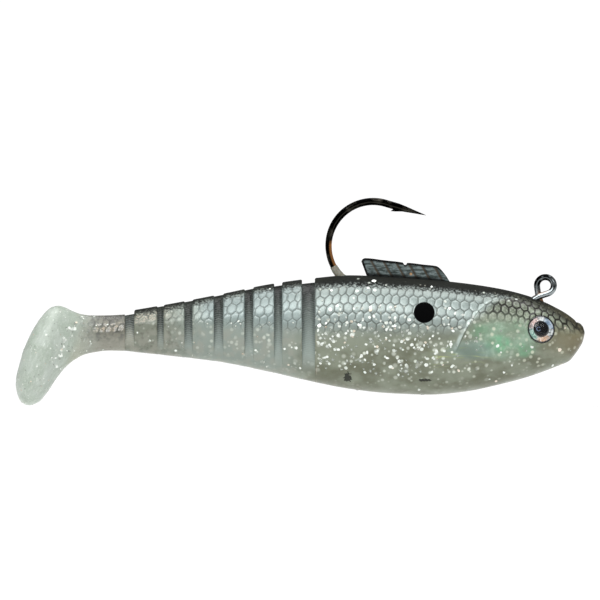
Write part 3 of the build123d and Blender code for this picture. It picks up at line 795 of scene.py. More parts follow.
# %% The boot's finish
def milky():
    finish = Finish("milky_plastisol", ior=1.47, coat_weight=0.12, coat_roughness=0.2,
                    subsurface_weight=0.3, subsurface_scale=1.0 * MM)
    finish.shader.inputs["Subsurface Radius"].default_value = (1.0, 1.0, 0.9)
    place = finish.attribute("place")
    x, y, z = place.parts()
    arc, fall, share = finish.attribute("wrap").parts()
    cloud = finish.noise(place, 3.0, 3.0, 0.6)
    fine = finish.noise(place, 0.5, 3.0, 0.65)
    grain = finish.noise(place, 0.2, 1.0)
    blotch = finish.noise(place, 0.9, 2.0)

    # the paddle: milk with streaks that run down its length
    leaning = finish.node("ShaderNodeCombineXYZ", {}, [x * 0.95 - z * 0.32, y, (x * 0.32 + z * 0.95) * 0.3])
    streak = finish.noise(leaning, 0.42, 2.0, 0.6)
    milk = finish.mix(ease(cloud, 0.35, 0.68), paint(164, 176, 163), paint(180, 190, 180))
    milk = milk.sprayed(ease(streak, 0.5, 0.75) * 0.5, 206, 214, 206)
    milk = milk.sprayed(ease(streak, 0.45, 0.3) * 0.15, 146, 158, 144)

    # the stalk: smoke that thins out towards the paddle, with worn scales under the back
    thin = fine * 0.6 + 0.4 * ease(share, 0.35, 0.9)
    smoke = finish.mix(thin, paint(96, 95, 82), paint(158, 158, 146))
    smoke = smoke.sprayed(ease(blotch, 0.46, 0.6) * ease(share, 0.85, 0.5) * 0.7, 86, 88, 84)
    net = ease(scale_pattern(1.25 * x + 0.9 * blotch, 1.3 * arc + 1.1 * fine), 0.62, 0.86)
    smoke = smoke.sprayed(net * ease(fall, 4.2, 2.0) * ease(blotch, 0.3, 0.6) * 0.6, 58, 58, 48)
    glints = (1 - net) * ease(size_of(fall - 2.0 - 0.4 * blotch), 1.0, 0.5) * ease(x, -83.0, -80.0)
    silver = finish.mix(ease(blotch, 0.35, 0.6), paint(198, 182, 162), paint(208, 208, 202))
    smoke = finish.mix(glints * ease(grain, 0.3, 0.6) * 0.8, smoke, silver)
    spray = ease(fall, 0.3 + 2.2 * fine * ease(x, -84.0, -76.0), 0.2) * ease(x, -84.5, -77.0)
    speckle = finish.mix(ease(grain, 0.4, 0.6), paint(24, 25, 22), paint(112, 112, 104))
    smoke = finish.mix(spray * 0.95, smoke, speckle)
    thinning = ease(x + 3.0 * (cloud - 0.5) + 1.5 * (blotch - 0.5), -79.0, -87.0)
    fore = ease(x - 0.47 * z, -80.6, -78.4) * ease(z, -6.0, -9.0) * ease(x, -81.0, -85.0)
    milk = milk.sprayed(fore * 0.5, 176, 174, 152)
    milk = milk.sprayed(ease(grain, 0.5, 0.7) * 0.3, 212, 220, 210)
    colour = finish.mix(thinning, smoke, milk)

    specks = flake_blobs(finish, place, 1.1, 0.2, 0.24) * ease(x, -76.0, -79.0) * ease(x, -88.0, -84.0)
    colour = colour.sprayed(specks * ease(share, 0.2, 0.4) * 0.8, 84, 84, 78)
    bright = flake_blobs(finish, leaning, 0.7, 0.45, 0.27) * ease(x, -80.0, -86.0)
    colour = colour.sprayed(bright * 0.75, 226, 234, 226)
    finish.set(base_color=colour, roughness=0.4 + 0.12 * (fine - 0.5),
               normal=finish.bump(fine * 0.6 + streak * 0.6, 0.04))
    return finish.material


# %% The boot's shape
BOOT = [  # step, top x, top z, bottom x, bottom z, half width
    (0, -75.6, -5.2, -75.6, -11.78, 2.42), (1, -78.6, -5.37, -78.5, -11.72, 2.0),
    (2, -81.4, -5.4, -81.1, -12.0, 1.85), (3, -83.4, -5.18, -83.0, -12.45, 1.95),
    (4, -85.1, -4.6, -84.8, -13.4, 2.35), (5, -86.5, -3.92, -86.5, -14.85, 3.15),
    (6, -87.6, -3.64, -88.2, -17.0, 4.2), (7, -88.75, -3.85, -89.65, -19.2, 5.0),
    (8, -89.75, -4.55, -91.2, -20.95, 5.25), (9, -90.65, -5.55, -92.9, -21.58, 5.2),
    (10, -91.5, -6.75, -94.3, -21.0, 4.8), (11, -92.4, -8.25, -95.05, -19.5, 4.0),
    (12, -93.2, -9.9, -95.33, -17.9, 2.8), (13, -94.0, -11.75, -95.25, -16.4, 1.4),
]
first = BOOT[0]
step = np.concatenate([np.linspace(0.06, 4, 60), np.linspace(4.05, 12.95, 150)])
top_x, top_z, bottom_x, bottom_z, half = through(BOOT, step).T
shares = np.array([0.12, 0.4, 0.7, 0.88, 0.95, 0.985])  # the front wall, from its middle to its rounded edge
wall_x = np.array([0.0, 0.0, 0.0, 0.01, 0.05, 0.12])
middle = (first[2] + first[4]) / 2
tops = np.stack([first[1] - wall_x, middle + (first[2] - middle) * shares], -1)
bottoms = np.stack([first[1] - wall_x, middle + (first[4] - middle) * shares], -1)
tops = np.vstack([tops, np.stack([top_x, top_z], -1)])
bottoms = np.vstack([bottoms, np.stack([bottom_x, bottom_z], -1)])
boot_rings = ovals(tops, bottoms, np.concatenate([first[5] * shares, half]), 200)
boot_wrap = wrap_of(boot_rings, boot_rings[..., 2].max(1), boot_rings[..., 2].min(1))
boot = skin("tail_boot", boot_rings, milky(), wrap=boot_wrap)
hinge = next(joint for joint in frame["joints"] if joint["name"] == "paddle_flex")["pos_m"]
BEND_REACH = 2.6 * MM  # a length each side of the hinge for a bend of the stalk's thin end; BEND, made from it, is not used
BEND = {"start": (hinge[0] + BEND_REACH, 0, hinge[2]), "end": (hinge[0] - BEND_REACH, 0, hinge[2])}
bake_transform(boot)
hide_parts("tail_stalk", "tail_paddle")

# %% [markdown]
# ## Glitter
# The flakes are cut foil, about half a millimetre across, and lie at all angles in the plastic. About a
# thousand real six-sided plates, half sunk in the skin, catch the light one by one, which no noise texture
# does. They are placed with a seeded random draw on the points of each skin, and each keeps a random tone.

# %% Flakes
def flake_finish():
    finish = Finish("glitter_foil", metallic=0.35, ior=1.5, specular_level=0.6)
    tone, warmth, rim = finish.attribute("tone").parts()
    grain = finish.noise(finish.attribute("place"), 0.25, 1.0)
    colour = finish.mix(ease(tone, 0.0, 0.9), paint(160, 168, 156), paint(240, 246, 238))
    colour = colour.sprayed(ease(grain, 0.4, 0.6) * 0.35, 188, 194, 188)
    colour = colour.sprayed(ease(warmth, 0.9, 0.95) * 0.7, 222, 204, 180)
    sunk = ease(tone, SUNK_TONE + 0.05, SUNK_TONE - 0.05)
    # painted glow: each flake emits a faint light of its own colour
    finish.set(base_color=colour, roughness=0.42 - 0.2 * tone, emission_color=colour, emission_strength=0.04,
               alpha=1 - sunk * (0.15 + 0.85 * ease(rim, 0.1, 0.95)))
    return finish.material


SUNK_TONE = 0.45  # flakes of a lower tone lie deeper, so they are larger, dimmer and blurred towards the rim
SUNK_GROWTH = 1.3
FLAKE_HALF_THICKNESS = 0.022
FLAKE_LIFT = 0.015  # of the flake's middle over the skin
FLAKE_TILT = 0.12
CAP_POINTS = 7  # six corners and the middle


def flakes(name, rings, chance, count, sizes, material):
    """Plates on random points of a skin, weighted by chance. A plate is a six-sided prism: the corners at
    radius * (cos, sin) of six angles across a tilted normal, at half a thickness up and down, and a middle
    for each cap, so that the rim can fade."""
    normals = outward(rings).reshape(-1, 3)
    points = rings.reshape(-1, 3)
    width = np.linalg.norm(np.roll(rings, -1, 1) - rings, axis=-1)
    length = np.linalg.norm(np.gradient(rings, axis=0), axis=-1)
    weight = (chance * (width * length)).ravel()
    chosen = rng.choice(len(points), count, replace=False, p=weight / weight.sum())
    centre, normal = points[chosen], normals[chosen]
    tilt = normal + rng.normal(0, FLAKE_TILT, (count, 3))
    tilt /= np.linalg.norm(tilt, axis=1, keepdims=True)
    side = np.cross(tilt, rng.normal(0, 1, (count, 3)))
    side /= np.linalg.norm(side, axis=1, keepdims=True)
    other = np.cross(tilt, side)
    tone = rng.uniform(0, 1, (count, 2))
    radius = rng.uniform(*sizes, count) * np.where(tone[:, 0] < SUNK_TONE, SUNK_GROWTH, 1.0)
    narrow = radius * rng.uniform(0.6, 1.0, count)
    angle = np.arange(CAP_POINTS) * np.pi / 3
    reach = np.where(np.arange(CAP_POINTS) < 6, 1.0, 0.0)
    along, across = np.cos(angle) * reach * radius[:, None], np.sin(angle) * reach * narrow[:, None]
    plate = side[:, None] * along[..., None] + other[:, None] * across[..., None]
    middle = (centre + normal * FLAKE_LIFT)[:, None]
    half = FLAKE_HALF_THICKNESS * tilt[:, None]
    corners = np.concatenate([middle + plate + half, middle + plate - half], 1)
    ring = np.arange(6)
    after = np.roll(ring, -1)
    upper = np.stack([ring, after, 0 * ring + 6], -1)
    caps = np.vstack([upper, upper[:, [1, 0, 2]] + CAP_POINTS])
    sides = np.stack([ring, ring + CAP_POINTS, after + CAP_POINTS, after], -1)
    start = np.arange(count)[:, None] * 2 * CAP_POINTS
    faces = []
    for block in (caps, sides):
        faces += (np.tile(block, (count, 1)) + np.repeat(start, len(block), axis=0)).tolist()
    rim = np.tile(np.concatenate([reach, reach]), count)
    tone = np.column_stack([np.repeat(tone, 2 * CAP_POINTS, axis=0), rim])
    piece = add_mesh(name, corners.reshape(-1, 3), faces, material, tone=tone)
    piece.data.polygons.foreach_set("use_smooth", np.zeros(len(faces), bool))
    print(f"{name}: {count} flakes")
    return piece


FLAKE = flake_finish()
for name, body, rings, wrap, deep in glitter_beds:
    x, z, share = rings[..., 0], rings[..., 2], wrap[..., 2]
    outside = (deep < 0.02) * ease(wrap[..., 1], 0.5, 1.0)
    if name == "trunk":
        from_eyes = [np.linalg.norm(rings - seat.middle, axis=-1) for seat in SEATS.values()]
        clear_of_eyes = np.min(from_eyes, axis=0) > 3.1
        clear_of_spot = np.hypot(x - SPOT[0], z - SPOT[1]) > SPOT[2] + 0.4
        flank_bed = ease(z, -2.0, -6.5) * ease(share, 0.9, 0.7) * (0.07 + 0.93 * ease(x, -9.0, -24.0))
        bare_belly = 1 - 0.6 * ease(x, -26.0, -18.0) * ease(z, -11.5, -14.0)
        back_bed = 0.16 * ease(z, -2.6, -0.6) * ease(z, 1.6, 0.4) * ease(x, -26.0, -33.0)
        chance = flank_bed * bare_belly + 0.035 + back_bed
        chance = chance * clear_of_eyes * clear_of_spot * ease(x, 6.0, 4.5)
        count, sizes = 660, (0.18, 0.4)
    else:
        chance = ease(share, 0.2, 0.45) * ease(share, 0.95, 0.85) + 0.03
        count, sizes = 22 - 2 * int(name[-1]), (0.14, 0.3)
    bed = flakes(f"glitter_{name}", rings, chance * outside, count, sizes, FLAKE)
    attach(bed, body)
x, z, share = boot_rings[..., 0], boot_rings[..., 2], boot_wrap[..., 2]
drift = x + 84.4 - 0.47 * (z + 6.5)  # from a slanting line of larger flakes, where the stalk meets the paddle
slant = np.exp(-((drift / 0.75) ** 2)) * ease(z, -15.0, -12.5) * ease(share, 0.06, 0.2)
for name, chance, count, sizes in (
    ("fine", ease(x, -77.5, -84.0) + 0.02, 340, (0.08, 0.2)),
    ("coarse", slant + 0.003, 70, (0.2, 0.36)),
):
    bed = flakes(f"glitter_boot_{name}", boot_rings, chance, count, sizes, FLAKE)
    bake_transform(bed)

# %% [markdown]
# ## Dorsal fin
# The fin is a thin flap of the same plastic that leans back, with slanting rays moulded into it and a nick
# in its top edge. Its rings run from the rear edge to the front one, each an upright flat oval between the
# back and the fin's top line, so the rays follow the slant of the rings by themselves.

# %% The fin
FIN_TOP = [  # x and z of the top line
    (-33.12, 4.3), (-32.95, 4.7), (-32.45, 4.93), (-29.0, 4.55), (-26.1, 4.22), (-25.65, 4.12),
    (-25.35, 3.72), (-25.1, 3.74), (-24.85, 4.08), (-22.0, 3.78), (-19.7, 3.52), (-19.25, 3.3),
    (-18.0, 1.9), (-17.15, 0.6),
]
FIN_REAR, FIN_FRONT = FIN_TOP[0][0], FIN_TOP[-1][0]
ROOT_REAR, ROOT_FRONT = -32.0, -17.1
FIN_HALF_WIDTH = 0.46
RAY_PITCH, RAY_LEAN, RAY_START = 2.16, 0.56, 23.15
RAY_DEPTH = 0.07


def fin_finish():
    finish = Finish("fin_plastisol", ior=1.47, coat_roughness=0.15, specular_level=0.12)
    place = finish.attribute("place")
    root, rise, end = finish.attribute("ray").parts()
    streak = finish.noise(finish.stretched(place, (0.8, 1.0, 4.0)), 1.2, 3.0, 0.6)
    fine = finish.noise(place, 0.3, 2.0)
    colour = finish.mix(ease(streak, 0.35, 0.65), paint(56, 64, 62), paint(112, 124, 124))
    colour = colour.sprayed(ease(fine, 0.5, 0.7) * 0.5, 40, 44, 42)
    ray = ease(size_of(folded(root + RAY_START, RAY_PITCH / 2)), 0.27, 0.12)
    shadow = ease(size_of(folded(root + RAY_START - 0.2, RAY_PITCH / 2)), 0.34, 0.1)
    colour = colour.sprayed(shadow * 0.5, 30, 32, 32)
    brown = finish.mix(fine, paint(34, 29, 22), paint(84, 70, 52))
    colour = finish.mix(ray * 0.75, colour, brown)
    glint = flake_blobs(finish, place, 1.6, 0.3, 0.22)
    colour = colour.sprayed(glint, 196, 150, 104)
    edge = most(ease(rise, 0.8, 0.9), ease(rise, 0.22, 0.06) * 0.9)
    outline = most(edge, ease(end, 0.95, 0.975))
    colour = colour.sprayed(outline * 0.96, 8, 8, 8)
    finish.set(base_color=colour, roughness=0.4 + 0.2 * (fine - 0.5) + 0.4 * outline,
               coat_weight=0.12 * (1 - outline), normal=finish.bump(streak * 0.5 + fine * 0.5, 0.05))
    return finish.material


share = np.linspace(0, 1, 170)
top_x = FIN_REAR + share * (FIN_FRONT - FIN_REAR)
top_z = through(FIN_TOP, top_x)[:, 0]
root_x = ROOT_REAR + share * (ROOT_FRONT - ROOT_REAR)
back = through(BODY, root_x)[:, 0]
ends = np.sqrt(np.clip(1 - (2 * share - 1) ** 16, 0.02, 1))
top, foot = np.stack([top_x, top_z], -1), np.stack([root_x, back - 0.5], -1)
fin_rings = ovals(top, foot, FIN_HALF_WIDTH * ends, 72, 3.0)
rise = (fin_rings[..., 2] - back[:, None]) / np.maximum(top_z - back, 0.2)[:, None]
fin_rings[..., 1] *= 1.25 - 0.65 * np.clip(rise, 0, 1)
root = fin_rings[..., 0] + RAY_LEAN * (fin_rings[..., 2] - 1.3)
end = np.abs(2 * share - 1)[:, None] + 0 * root
on_a_side = np.abs(fin_rings[..., 1]) > 0.05
groove = RAY_DEPTH * ease(np.abs(folded(root + RAY_START, RAY_PITCH / 2)), 0.26, 0.05) * on_a_side
fin_rings[..., 1] -= np.sign(fin_rings[..., 1]) * groove
fin = skin("fin_blade", fin_rings, fin_finish(), ray=np.stack([root, rise, end], -1))
fin_joint = next(joint for joint in frame["joints"] if joint["name"] == "dorsal_fin_flex")
fin_up = np.array([-fin_joint["axis"][2], 0, fin_joint["axis"][0]])
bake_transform(fin)
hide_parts("dorsal_fin")

# %% [markdown]
# ## Jig hook
# A hook starts as round wire. Its bend is pressed flat so that it doesn't open, its point is ground to a
# long cone, and the barb is a chip that a chisel lifts from the inside. The wire is a profile carried along
# a path of a straight, an arc and a straight, and the barb is pushed out of the same rings, so it is all
# one surface.

# %% The hook's path
BEND_CENTRE = (-31.03, 7.12)
BEND_RADIUS = 8.0
SHANK_SLOPE, POINT_SLOPE = np.radians(9.0), np.radians(16.5)
SHANK_FRONT = -4.5
SPEAR = 7.6  # from the end of the bend to the tip
WIRE = 0.575
CONE = 5.2  # length of the ground point
FORGED_TALLER, FORGED_THINNER = 0.09, 0.06  # what pressing adds to and takes off the wire's radius


def hook_path(gap=0.12):
    """Points (x, z), directions and distances to the tip of the centre line: along the shank, round the bend
    and out to the tip. A straight adds its length along its direction; the arc turns the direction at radius
    BEND_RADIUS. The shank lies inside the body, so one distance serves all of it."""
    start = np.pi - SHANK_SLOPE  # direction of travel: rearwards and up along the shank
    finish = -POINT_SLOPE
    foot = np.array(BEND_CENTRE) + BEND_RADIUS * np.array([-np.sin(SHANK_SLOPE), -np.cos(SHANK_SLOPE)])
    length = (foot[0] - SHANK_FRONT) / np.cos(start)
    heading = np.array([np.cos(start), np.sin(start)])
    along = np.arange(0, length, 0.5)
    shank = foot - heading * (length - along)[:, None]
    turn = np.arange(start, finish, -gap / BEND_RADIUS)
    arc = np.array(BEND_CENTRE) + BEND_RADIUS * np.stack([-np.sin(turn), np.cos(turn)], -1)
    run = np.arange(gap, SPEAR, gap / 2)
    aim = np.array([np.cos(finish), np.sin(finish)])
    top = np.array(BEND_CENTRE) + BEND_RADIUS * np.array([-np.sin(finish), np.cos(finish)])
    spear = top + aim * run[:, None]
    path = np.vstack([shank, arc, spear])
    heading = np.concatenate([np.full(len(shank), start), turn, np.full(len(spear), finish)])
    round_bend = SPEAR + (turn - finish) * BEND_RADIUS
    left = np.concatenate([np.full(len(shank), SPEAR + 9.0), round_bend, SPEAR - run])
    return path, heading, left


# %% Hook
def steel(name, dark, light, warm_reflection, roughness, paler_under, warm_under):
    """Black-nickel plating: dark metal with cloudy light patches that are painted reflections, a painted warm
    reflection, a painted highlight line and fine drawn lines. The attribute bore is 1 on the inner side of a
    bend, where the highlight line and the warm reflection lie, and -1 on the outer side. Under the height
    paler_under the wire is painted paler as painted light, and under warm_under its inner side gets the warm
    reflection."""
    finish = Finish(name, metallic=1.0)
    place = finish.attribute("place")
    bore = finish.number("bore")
    _, _, z = place.parts()
    cloud = finish.noise(place, 1.6, 2.0)
    drawn = finish.noise(place, 0.18, 2.0)
    # painted light: lower down the wire is painted paler, and the cloudy light patches mixed in below are
    # painted reflections
    pale = ease(z + 1.6 * (cloud - 0.5), paler_under, paler_under - 1.3) * 0.8
    colour = finish.mix(most(ease(cloud, 0.45, 0.8), pale), dark, light)
    # painted highlight: a light line near the inner side of the wire
    wear_and_highlight = ease(size_of(bore - 0.25 - 0.5 * (cloud - 0.5)), 0.22, 0.05)
    colour = finish.mix(wear_and_highlight * 0.35, colour, light)
    # painted reflection: a warm orange-brown glow on the inner side, under warm_under
    warm = ease(bore, 0.0, 0.5) * ease(z + 0.8 * (drawn - 0.5), warm_under, warm_under - 1.8)
    colour = finish.mix(warm * 0.9, colour, warm_reflection)
    finish.set(base_color=colour,
               roughness=roughness + 0.16 * (cloud - 0.5) + 0.1 * (drawn - 0.5),
               normal=finish.bump(drawn, 0.006))
    return finish.material


path, heading, left = hook_path()
angle = np.linspace(0, 2 * np.pi, 32, endpoint=False)
normal = np.stack([-np.sin(heading), np.cos(heading)], -1)  # in the hook's plane, away from the bend's centre
pressed = ease(left, 24.0, 16.0) * ease(left, 1.0, 4.0)
taper = np.clip(left / CONE, 0.03, 1) ** 0.8
tall = (WIRE + FORGED_TALLER * pressed) * taper
wide = (WIRE - FORGED_THINNER * pressed) * taper
BARB_TIP, BARB_ROOT = 5.9, 4.3  # distances from the hook's tip
BARB_LIFT, BARB_DRAG = 0.46, 0.55  # how far the chip's tip stands off the wire and leans back along it
chip = np.clip((left - BARB_ROOT) / (BARB_TIP - BARB_ROOT), 0, 1) * (left < BARB_TIP + 0.02)
inside = np.clip(-np.cos(angle), 0, 1) ** 6
reach_out = tall[:, None] * np.cos(angle) - BARB_LIFT * chip[:, None] * inside
drag = -BARB_DRAG * chip[:, None] * inside
direction = np.stack([np.cos(heading), np.sin(heading)], -1)
flat = path[:, None] + normal[:, None] * reach_out[..., None] + direction[:, None] * drag[..., None]
hook_rings = np.stack([flat[..., 0], wide[:, None] * np.sin(angle), flat[..., 1]], -1)
bore = -np.cos(angle) + 0 * reach_out
NOWHERE = -9.0  # a height under the whole hook
nickel = steel("black_nickel", paint(7, 7, 7), paint(66, 64, 58), paint(206, 142, 86), 0.2, NOWHERE, 8.4)
hook = skin("forged_hook", hook_rings, nickel, bore=bore)
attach(hook, "trunk_body")
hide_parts("jig_hook")

# %% [markdown]
# ## Line tie
# The line tie is a second wire. It makes a ring, its two legs cross under the ring, one in front of the
# other, and both run down into the lead. The path is the ring's arc, the two tangents and the legs, blurred
# a little along its length, because drawn wire takes no sharp corner.

# %% Line tie
RING_RADIUS, TIE_WIRE = 1.51, 0.57
CROSSING = np.array([-1.24, -1.98])
LEG_APART = 0.6  # each leg's distance from the middle plane, so that one passes in front of the other
LEG_END = -8.2


def tie_path():
    """The ring's arc between its two tangents from the crossing, then each leg past the crossing to its foot.
    Across the lure the wire drifts evenly from one side to the other on its way round the ring."""
    reach = np.hypot(*CROSSING)
    lean = np.arctan2(-CROSSING[1], -CROSSING[0])
    half = np.arccos(RING_RADIUS / reach)
    turn = np.linspace(lean + np.pi - half, lean - np.pi + half, 90)
    ring = RING_RADIUS * np.stack([np.cos(turn), np.sin(turn)], -1)
    y = np.linspace(LEG_APART, -LEG_APART, 90)
    feet = {0: (-0.75, -3.3), -1: (-2.3, -2.6)}
    legs = []
    for end, (foot_x, foot_z) in feet.items():
        corners = np.array([ring[end], CROSSING, (foot_x, foot_z), (foot_x - 0.3, LEG_END)])
        leg = np.vstack([np.linspace(a, b, 20) for a, b in zip(corners, corners[1:])])
        legs.append(np.column_stack([leg[:, 0], np.full(len(leg), y[end]), leg[:, 1]]))
    whole = np.vstack([legs[0][::-1], np.column_stack([ring[:, 0], y, ring[:, 1]]), legs[1]])
    away = np.concatenate([[0], np.cumsum(np.linalg.norm(np.diff(whole, axis=0), axis=1))])
    even = np.arange(0, away[-1], 0.12)
    whole = np.column_stack([np.interp(even, away, column) for column in whole.T])
    kernel = np.hanning(9) / np.hanning(9).sum()
    return np.column_stack([np.convolve(np.pad(column, 4, "edge"), kernel, "valid") for column in whole.T])


def carried(path, radius, around=28):
    """A round profile along a path in space: at each point, radius * (cos, sin) across its direction."""
    ahead = np.gradient(path, axis=0)
    ahead /= np.linalg.norm(ahead, axis=1, keepdims=True)
    side = np.cross(ahead, (0, 1.0, 0))
    side /= np.linalg.norm(side, axis=1, keepdims=True)
    other = np.cross(ahead, side)
    angle = np.linspace(0, 2 * np.pi, around, endpoint=False)
    circle = side[:, None] * np.cos(angle)[:, None] + other[:, None] * np.sin(angle)[:, None]
    return path[:, None] + circle * radius


tie_rings = carried(tie_path(), TIE_WIRE)
centre = tie_rings.mean(1, keepdims=True)
bore = -((tie_rings - centre) * centre).sum(-1) / TIE_WIRE / np.linalg.norm(centre, axis=-1)
plating = steel("tie_plating", paint(10, 11, 12), paint(158, 166, 168), paint(170, 122, 78), 0.14, 0.1, -0.4)
tie = skin("ring_wire", tie_rings, plating, bore=bore)
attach(tie, "trunk_body")
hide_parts("line_tie")

# %% [markdown]
# ## Collar round the hook
# Where the hook leaves the back, the mould leaves a small chimney of clear grey plastic round the wire. Its
# rings stand square to the wire and shrink towards a thin lip.

# %% Collar
COLLAR_FOOT, COLLAR_TOP = np.radians(229), np.radians(207.5)  # angles round the centre of the hook's bend
COLLAR_RADIUS = 0.84
COLLAR_LIP = [0.64, 0.6]  # the last two radii, which turn the top edge in
turn = np.linspace(COLLAR_FOOT, COLLAR_TOP, 40)
share = np.linspace(0, 1, 40)
centre = np.array(BEND_CENTRE) + BEND_RADIUS * np.stack([np.cos(turn), np.sin(turn)], -1)
radius = COLLAR_RADIUS - 0.07 * ease(share, 0.0, 0.3) - 0.1 * share + 0.012 * np.sin(19 * share)
radius = np.concatenate([radius, COLLAR_LIP])
centre = np.vstack([centre, centre[-1:], centre[-1:]])
turn = np.concatenate([turn, turn[-1:], turn[-1:]])
angle = np.linspace(0, 2 * np.pi, 48, endpoint=False)
across = np.stack([np.cos(turn), np.sin(turn)], -1)
flat = centre[:, None] + across[:, None] * (radius[:, None] * np.cos(angle))[..., None]
collar_rings = np.stack([flat[..., 0], radius[:, None] * np.sin(angle), flat[..., 1]], -1)


def clear_grey():
    finish = Finish("clear_grey_plastisol", ior=1.47, coat_weight=0.4, coat_roughness=0.15,
                    subsurface_weight=0.3, subsurface_scale=0.6 * MM)
    place = finish.attribute("place")
    _, _, z = place.parts()
    cloud = finish.noise(place, 0.6, 3.0)
    colour = finish.mix(cloud, paint(96, 96, 84), paint(152, 150, 136))
    colour = colour.sprayed(ease(z, 2.0, 1.3), 40, 42, 38)
    finish.set(base_color=colour, roughness=0.36 + 0.1 * cloud, normal=finish.bump(cloud, 0.03))
    return finish.material


collar = skin("hook_collar", collar_rings, clear_grey())
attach(collar, "trunk_body")

# %% [markdown]
# ## Eyes
# Each eye is a clear domed lens over a disc of holographic foil with a printed pupil. All three are turned
# shapes: a profile of radius and height, carried round the line that the eye looks along. The dome is not
# glass with refraction, which would leave the foil behind it noisy and dark. It is clear where you look
# through it and glossy at the glancing edge, mixed by Fresnel.

# %% Finishes of the eye
def lens_finish():
    finish = Finish("clear_dome", roughness=0.03, specular_level=0.9, ior=1.5)
    clear = finish.node("ShaderNodeBsdfTransparent", {}, {"Color": (1.0, 1.0, 1.0)})
    gloss = finish.node("ShaderNodeBsdfGlossy", {}, {"Color": (1.0, 1.0, 1.0), "Roughness": 0.03})
    inside = finish.node("ShaderNodeNewGeometry", output="Backfacing")
    mirror = finish.node("ShaderNodeFresnel", {}, {"IOR": 1.33}) * (1 - inside)
    mixed = finish.node("ShaderNodeMixShader", {}, [mirror, clear, gloss])
    finish.tree.links.new(mixed.socket, finish.output.inputs[0])
    finish.tree.nodes.remove(finish.shader)
    return finish.material


def iris_finish():
    finish = Finish("holographic_foil", metallic=0.35, ior=1.5, roughness=0.3)
    radius, turn, _ = finish.attribute("dial").parts()
    place = finish.attribute("place")
    patch = finish.noise(place, 0.6, 2.0)
    spark = finish.noise(place, 0.24, 2.0)
    colour = finish.mix(ease(patch, 0.4, 0.6), paint(108, 118, 120), paint(216, 222, 222))
    tints = (  # where round the eye, in radians, and the colour
        (0.6, paint(132, 168, 206)), (2.4, paint(236, 186, 176)),
        (3.7, paint(120, 188, 166)), (4.9, paint(232, 168, 112)),
    )
    for middle, tint in tints:
        facing = (turn - middle).maths("COSINE")
        colour = finish.mix(ease(facing + 0.9 * (spark - 0.5), 0.72, 1.0) * 0.62, colour, tint)
    colour = colour.sprayed(ease(spark, 0.56, 0.66) * 0.75, 246, 248, 248)
    colour = colour.sprayed(ease(spark, 0.44, 0.36) * 0.5, 84, 92, 94)
    colour = colour.sprayed(ease(radius, 2.14, 2.32), 24, 28, 30)
    colour = colour.sprayed(ease(radius, 1.5, 1.42) * 0.9, 20, 23, 26)
    finish.set(base_color=colour, normal=finish.bump(spark, 0.02))
    return finish.material


def pupil_finish():
    finish = Finish("printed_black_and_reflection", roughness=0.35, specular_level=0.15)
    radius, turn, _ = finish.attribute("dial").parts()
    cloud = finish.noise(finish.attribute("place"), 0.5, 2.0)
    colour = finish.mix(cloud * ease(radius, 0.2, 1.2) * 0.5, paint(3, 3, 4), paint(16, 20, 28))
    # painted reflection: a small bluish ring of light in the pupil, behind and a little below its middle
    ahead = radius * turn.maths("COSINE") + 0.42
    up = radius * turn.maths("SINE") + 0.12
    ring = size_of((ahead * ahead + up * up) ** 0.5 - 0.34)
    colour = colour.sprayed(ease(ring, 0.12, 0.03) * ease(cloud, 0.35, 0.55) * 0.7, 132, 146, 176)
    finish.set(base_color=colour)
    return finish.material


# %% Turned pieces of the eye
def turned(name, seat, profile, material, shift=(0.0, 0.0), around=96):
    """A profile of (radius, height over the foil's middle) carried round the eye's axis: the point at an
    angle is radius * cos ahead, radius * sin up, and height out."""
    radius, height = np.array(profile, float).T
    angle = np.linspace(0, 2 * np.pi, around, endpoint=False)
    ahead, up = radius[:, None] * np.cos(angle), radius[:, None] * np.sin(angle)
    rings = seat.place(ahead + shift[0], up + shift[1], height[:, None] + 0 * ahead)
    dial = np.stack([radius[:, None] + 0 * ahead, angle + 0 * ahead, 0 * ahead], -1)
    piece = skin(name, rings, material, dial=dial)
    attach(piece, "trunk_body")
    return piece


FOIL_HALF, PUPIL_THICK, LENS_EDGE, LENS_RISE = 0.06, 0.1, 0.3, 0.95
PUPIL_RADIUS = 1.35
PUPIL_SHIFT = (-0.1, 0.15)  # ahead and up, off the middle of the foil
lens_material, iris_material, pupil_material = lens_finish(), iris_finish(), pupil_finish()
for side, seat in SEATS.items():
    radius = seat.radius
    r = np.linspace(0.02, 1, 26)
    dome = [(radius * s, FOIL_HALF + LENS_EDGE + LENS_RISE * (1 - s**2.3)) for s in r]
    under = [(radius, FOIL_HALF + 0.12), (radius * 0.99, FOIL_HALF + 0.11)]
    under.append((radius * 0.5, FOIL_HALF + PUPIL_THICK + 0.02))
    lens = turned(f"eye_dome_{side}", seat, dome + under, lens_material)
    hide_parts(f"eye_lens_{side}")
    ripple = [(radius * s, FOIL_HALF + 0.012 * np.sin(22 * s)) for s in np.linspace(0.02, 0.995, 40)]
    underside = [(radius, 0.0), (radius * 0.99, -FOIL_HALF), (0.3, -FOIL_HALF)]
    iris = turned(f"iris_{side}", seat, ripple + underside, iris_material)
    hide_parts(f"eye_foil_{side}")
    bulge = [(PUPIL_RADIUS * s, FOIL_HALF + 0.02 + 0.07 * (1 - s**2)) for s in np.linspace(0.02, 1, 14)]
    flat = [(PUPIL_RADIUS * 0.98, FOIL_HALF), (0.2, FOIL_HALF)]
    pupil = turned(f"pupil_{side}", seat, bulge + flat, pupil_material, PUPIL_SHIFT)
    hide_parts(f"eye_pupil_{side}")

# %% [markdown]
# ## Pieces that stay as the frame made them
# The lead keel, the flash foil and the eyes' sticky pads are the right shape already and lie out of sight.
# They still get a finish each, so that the model is whole when it is taken apart.

# %% Finishes for the inner pieces
def simple(name, dark, light, size, **constants):
    """A two-tone cloudy finish on Object coordinates."""
    finish = Finish(name, **constants)
    where = finish.node("ShaderNodeTexCoord", {}, output="Object")
    cloud = finish.noise(where, size * MM, 3.0)
    finish.set(base_color=finish.mix(cloud, dark, light), normal=finish.bump(cloud, 0.04))
    return finish.material


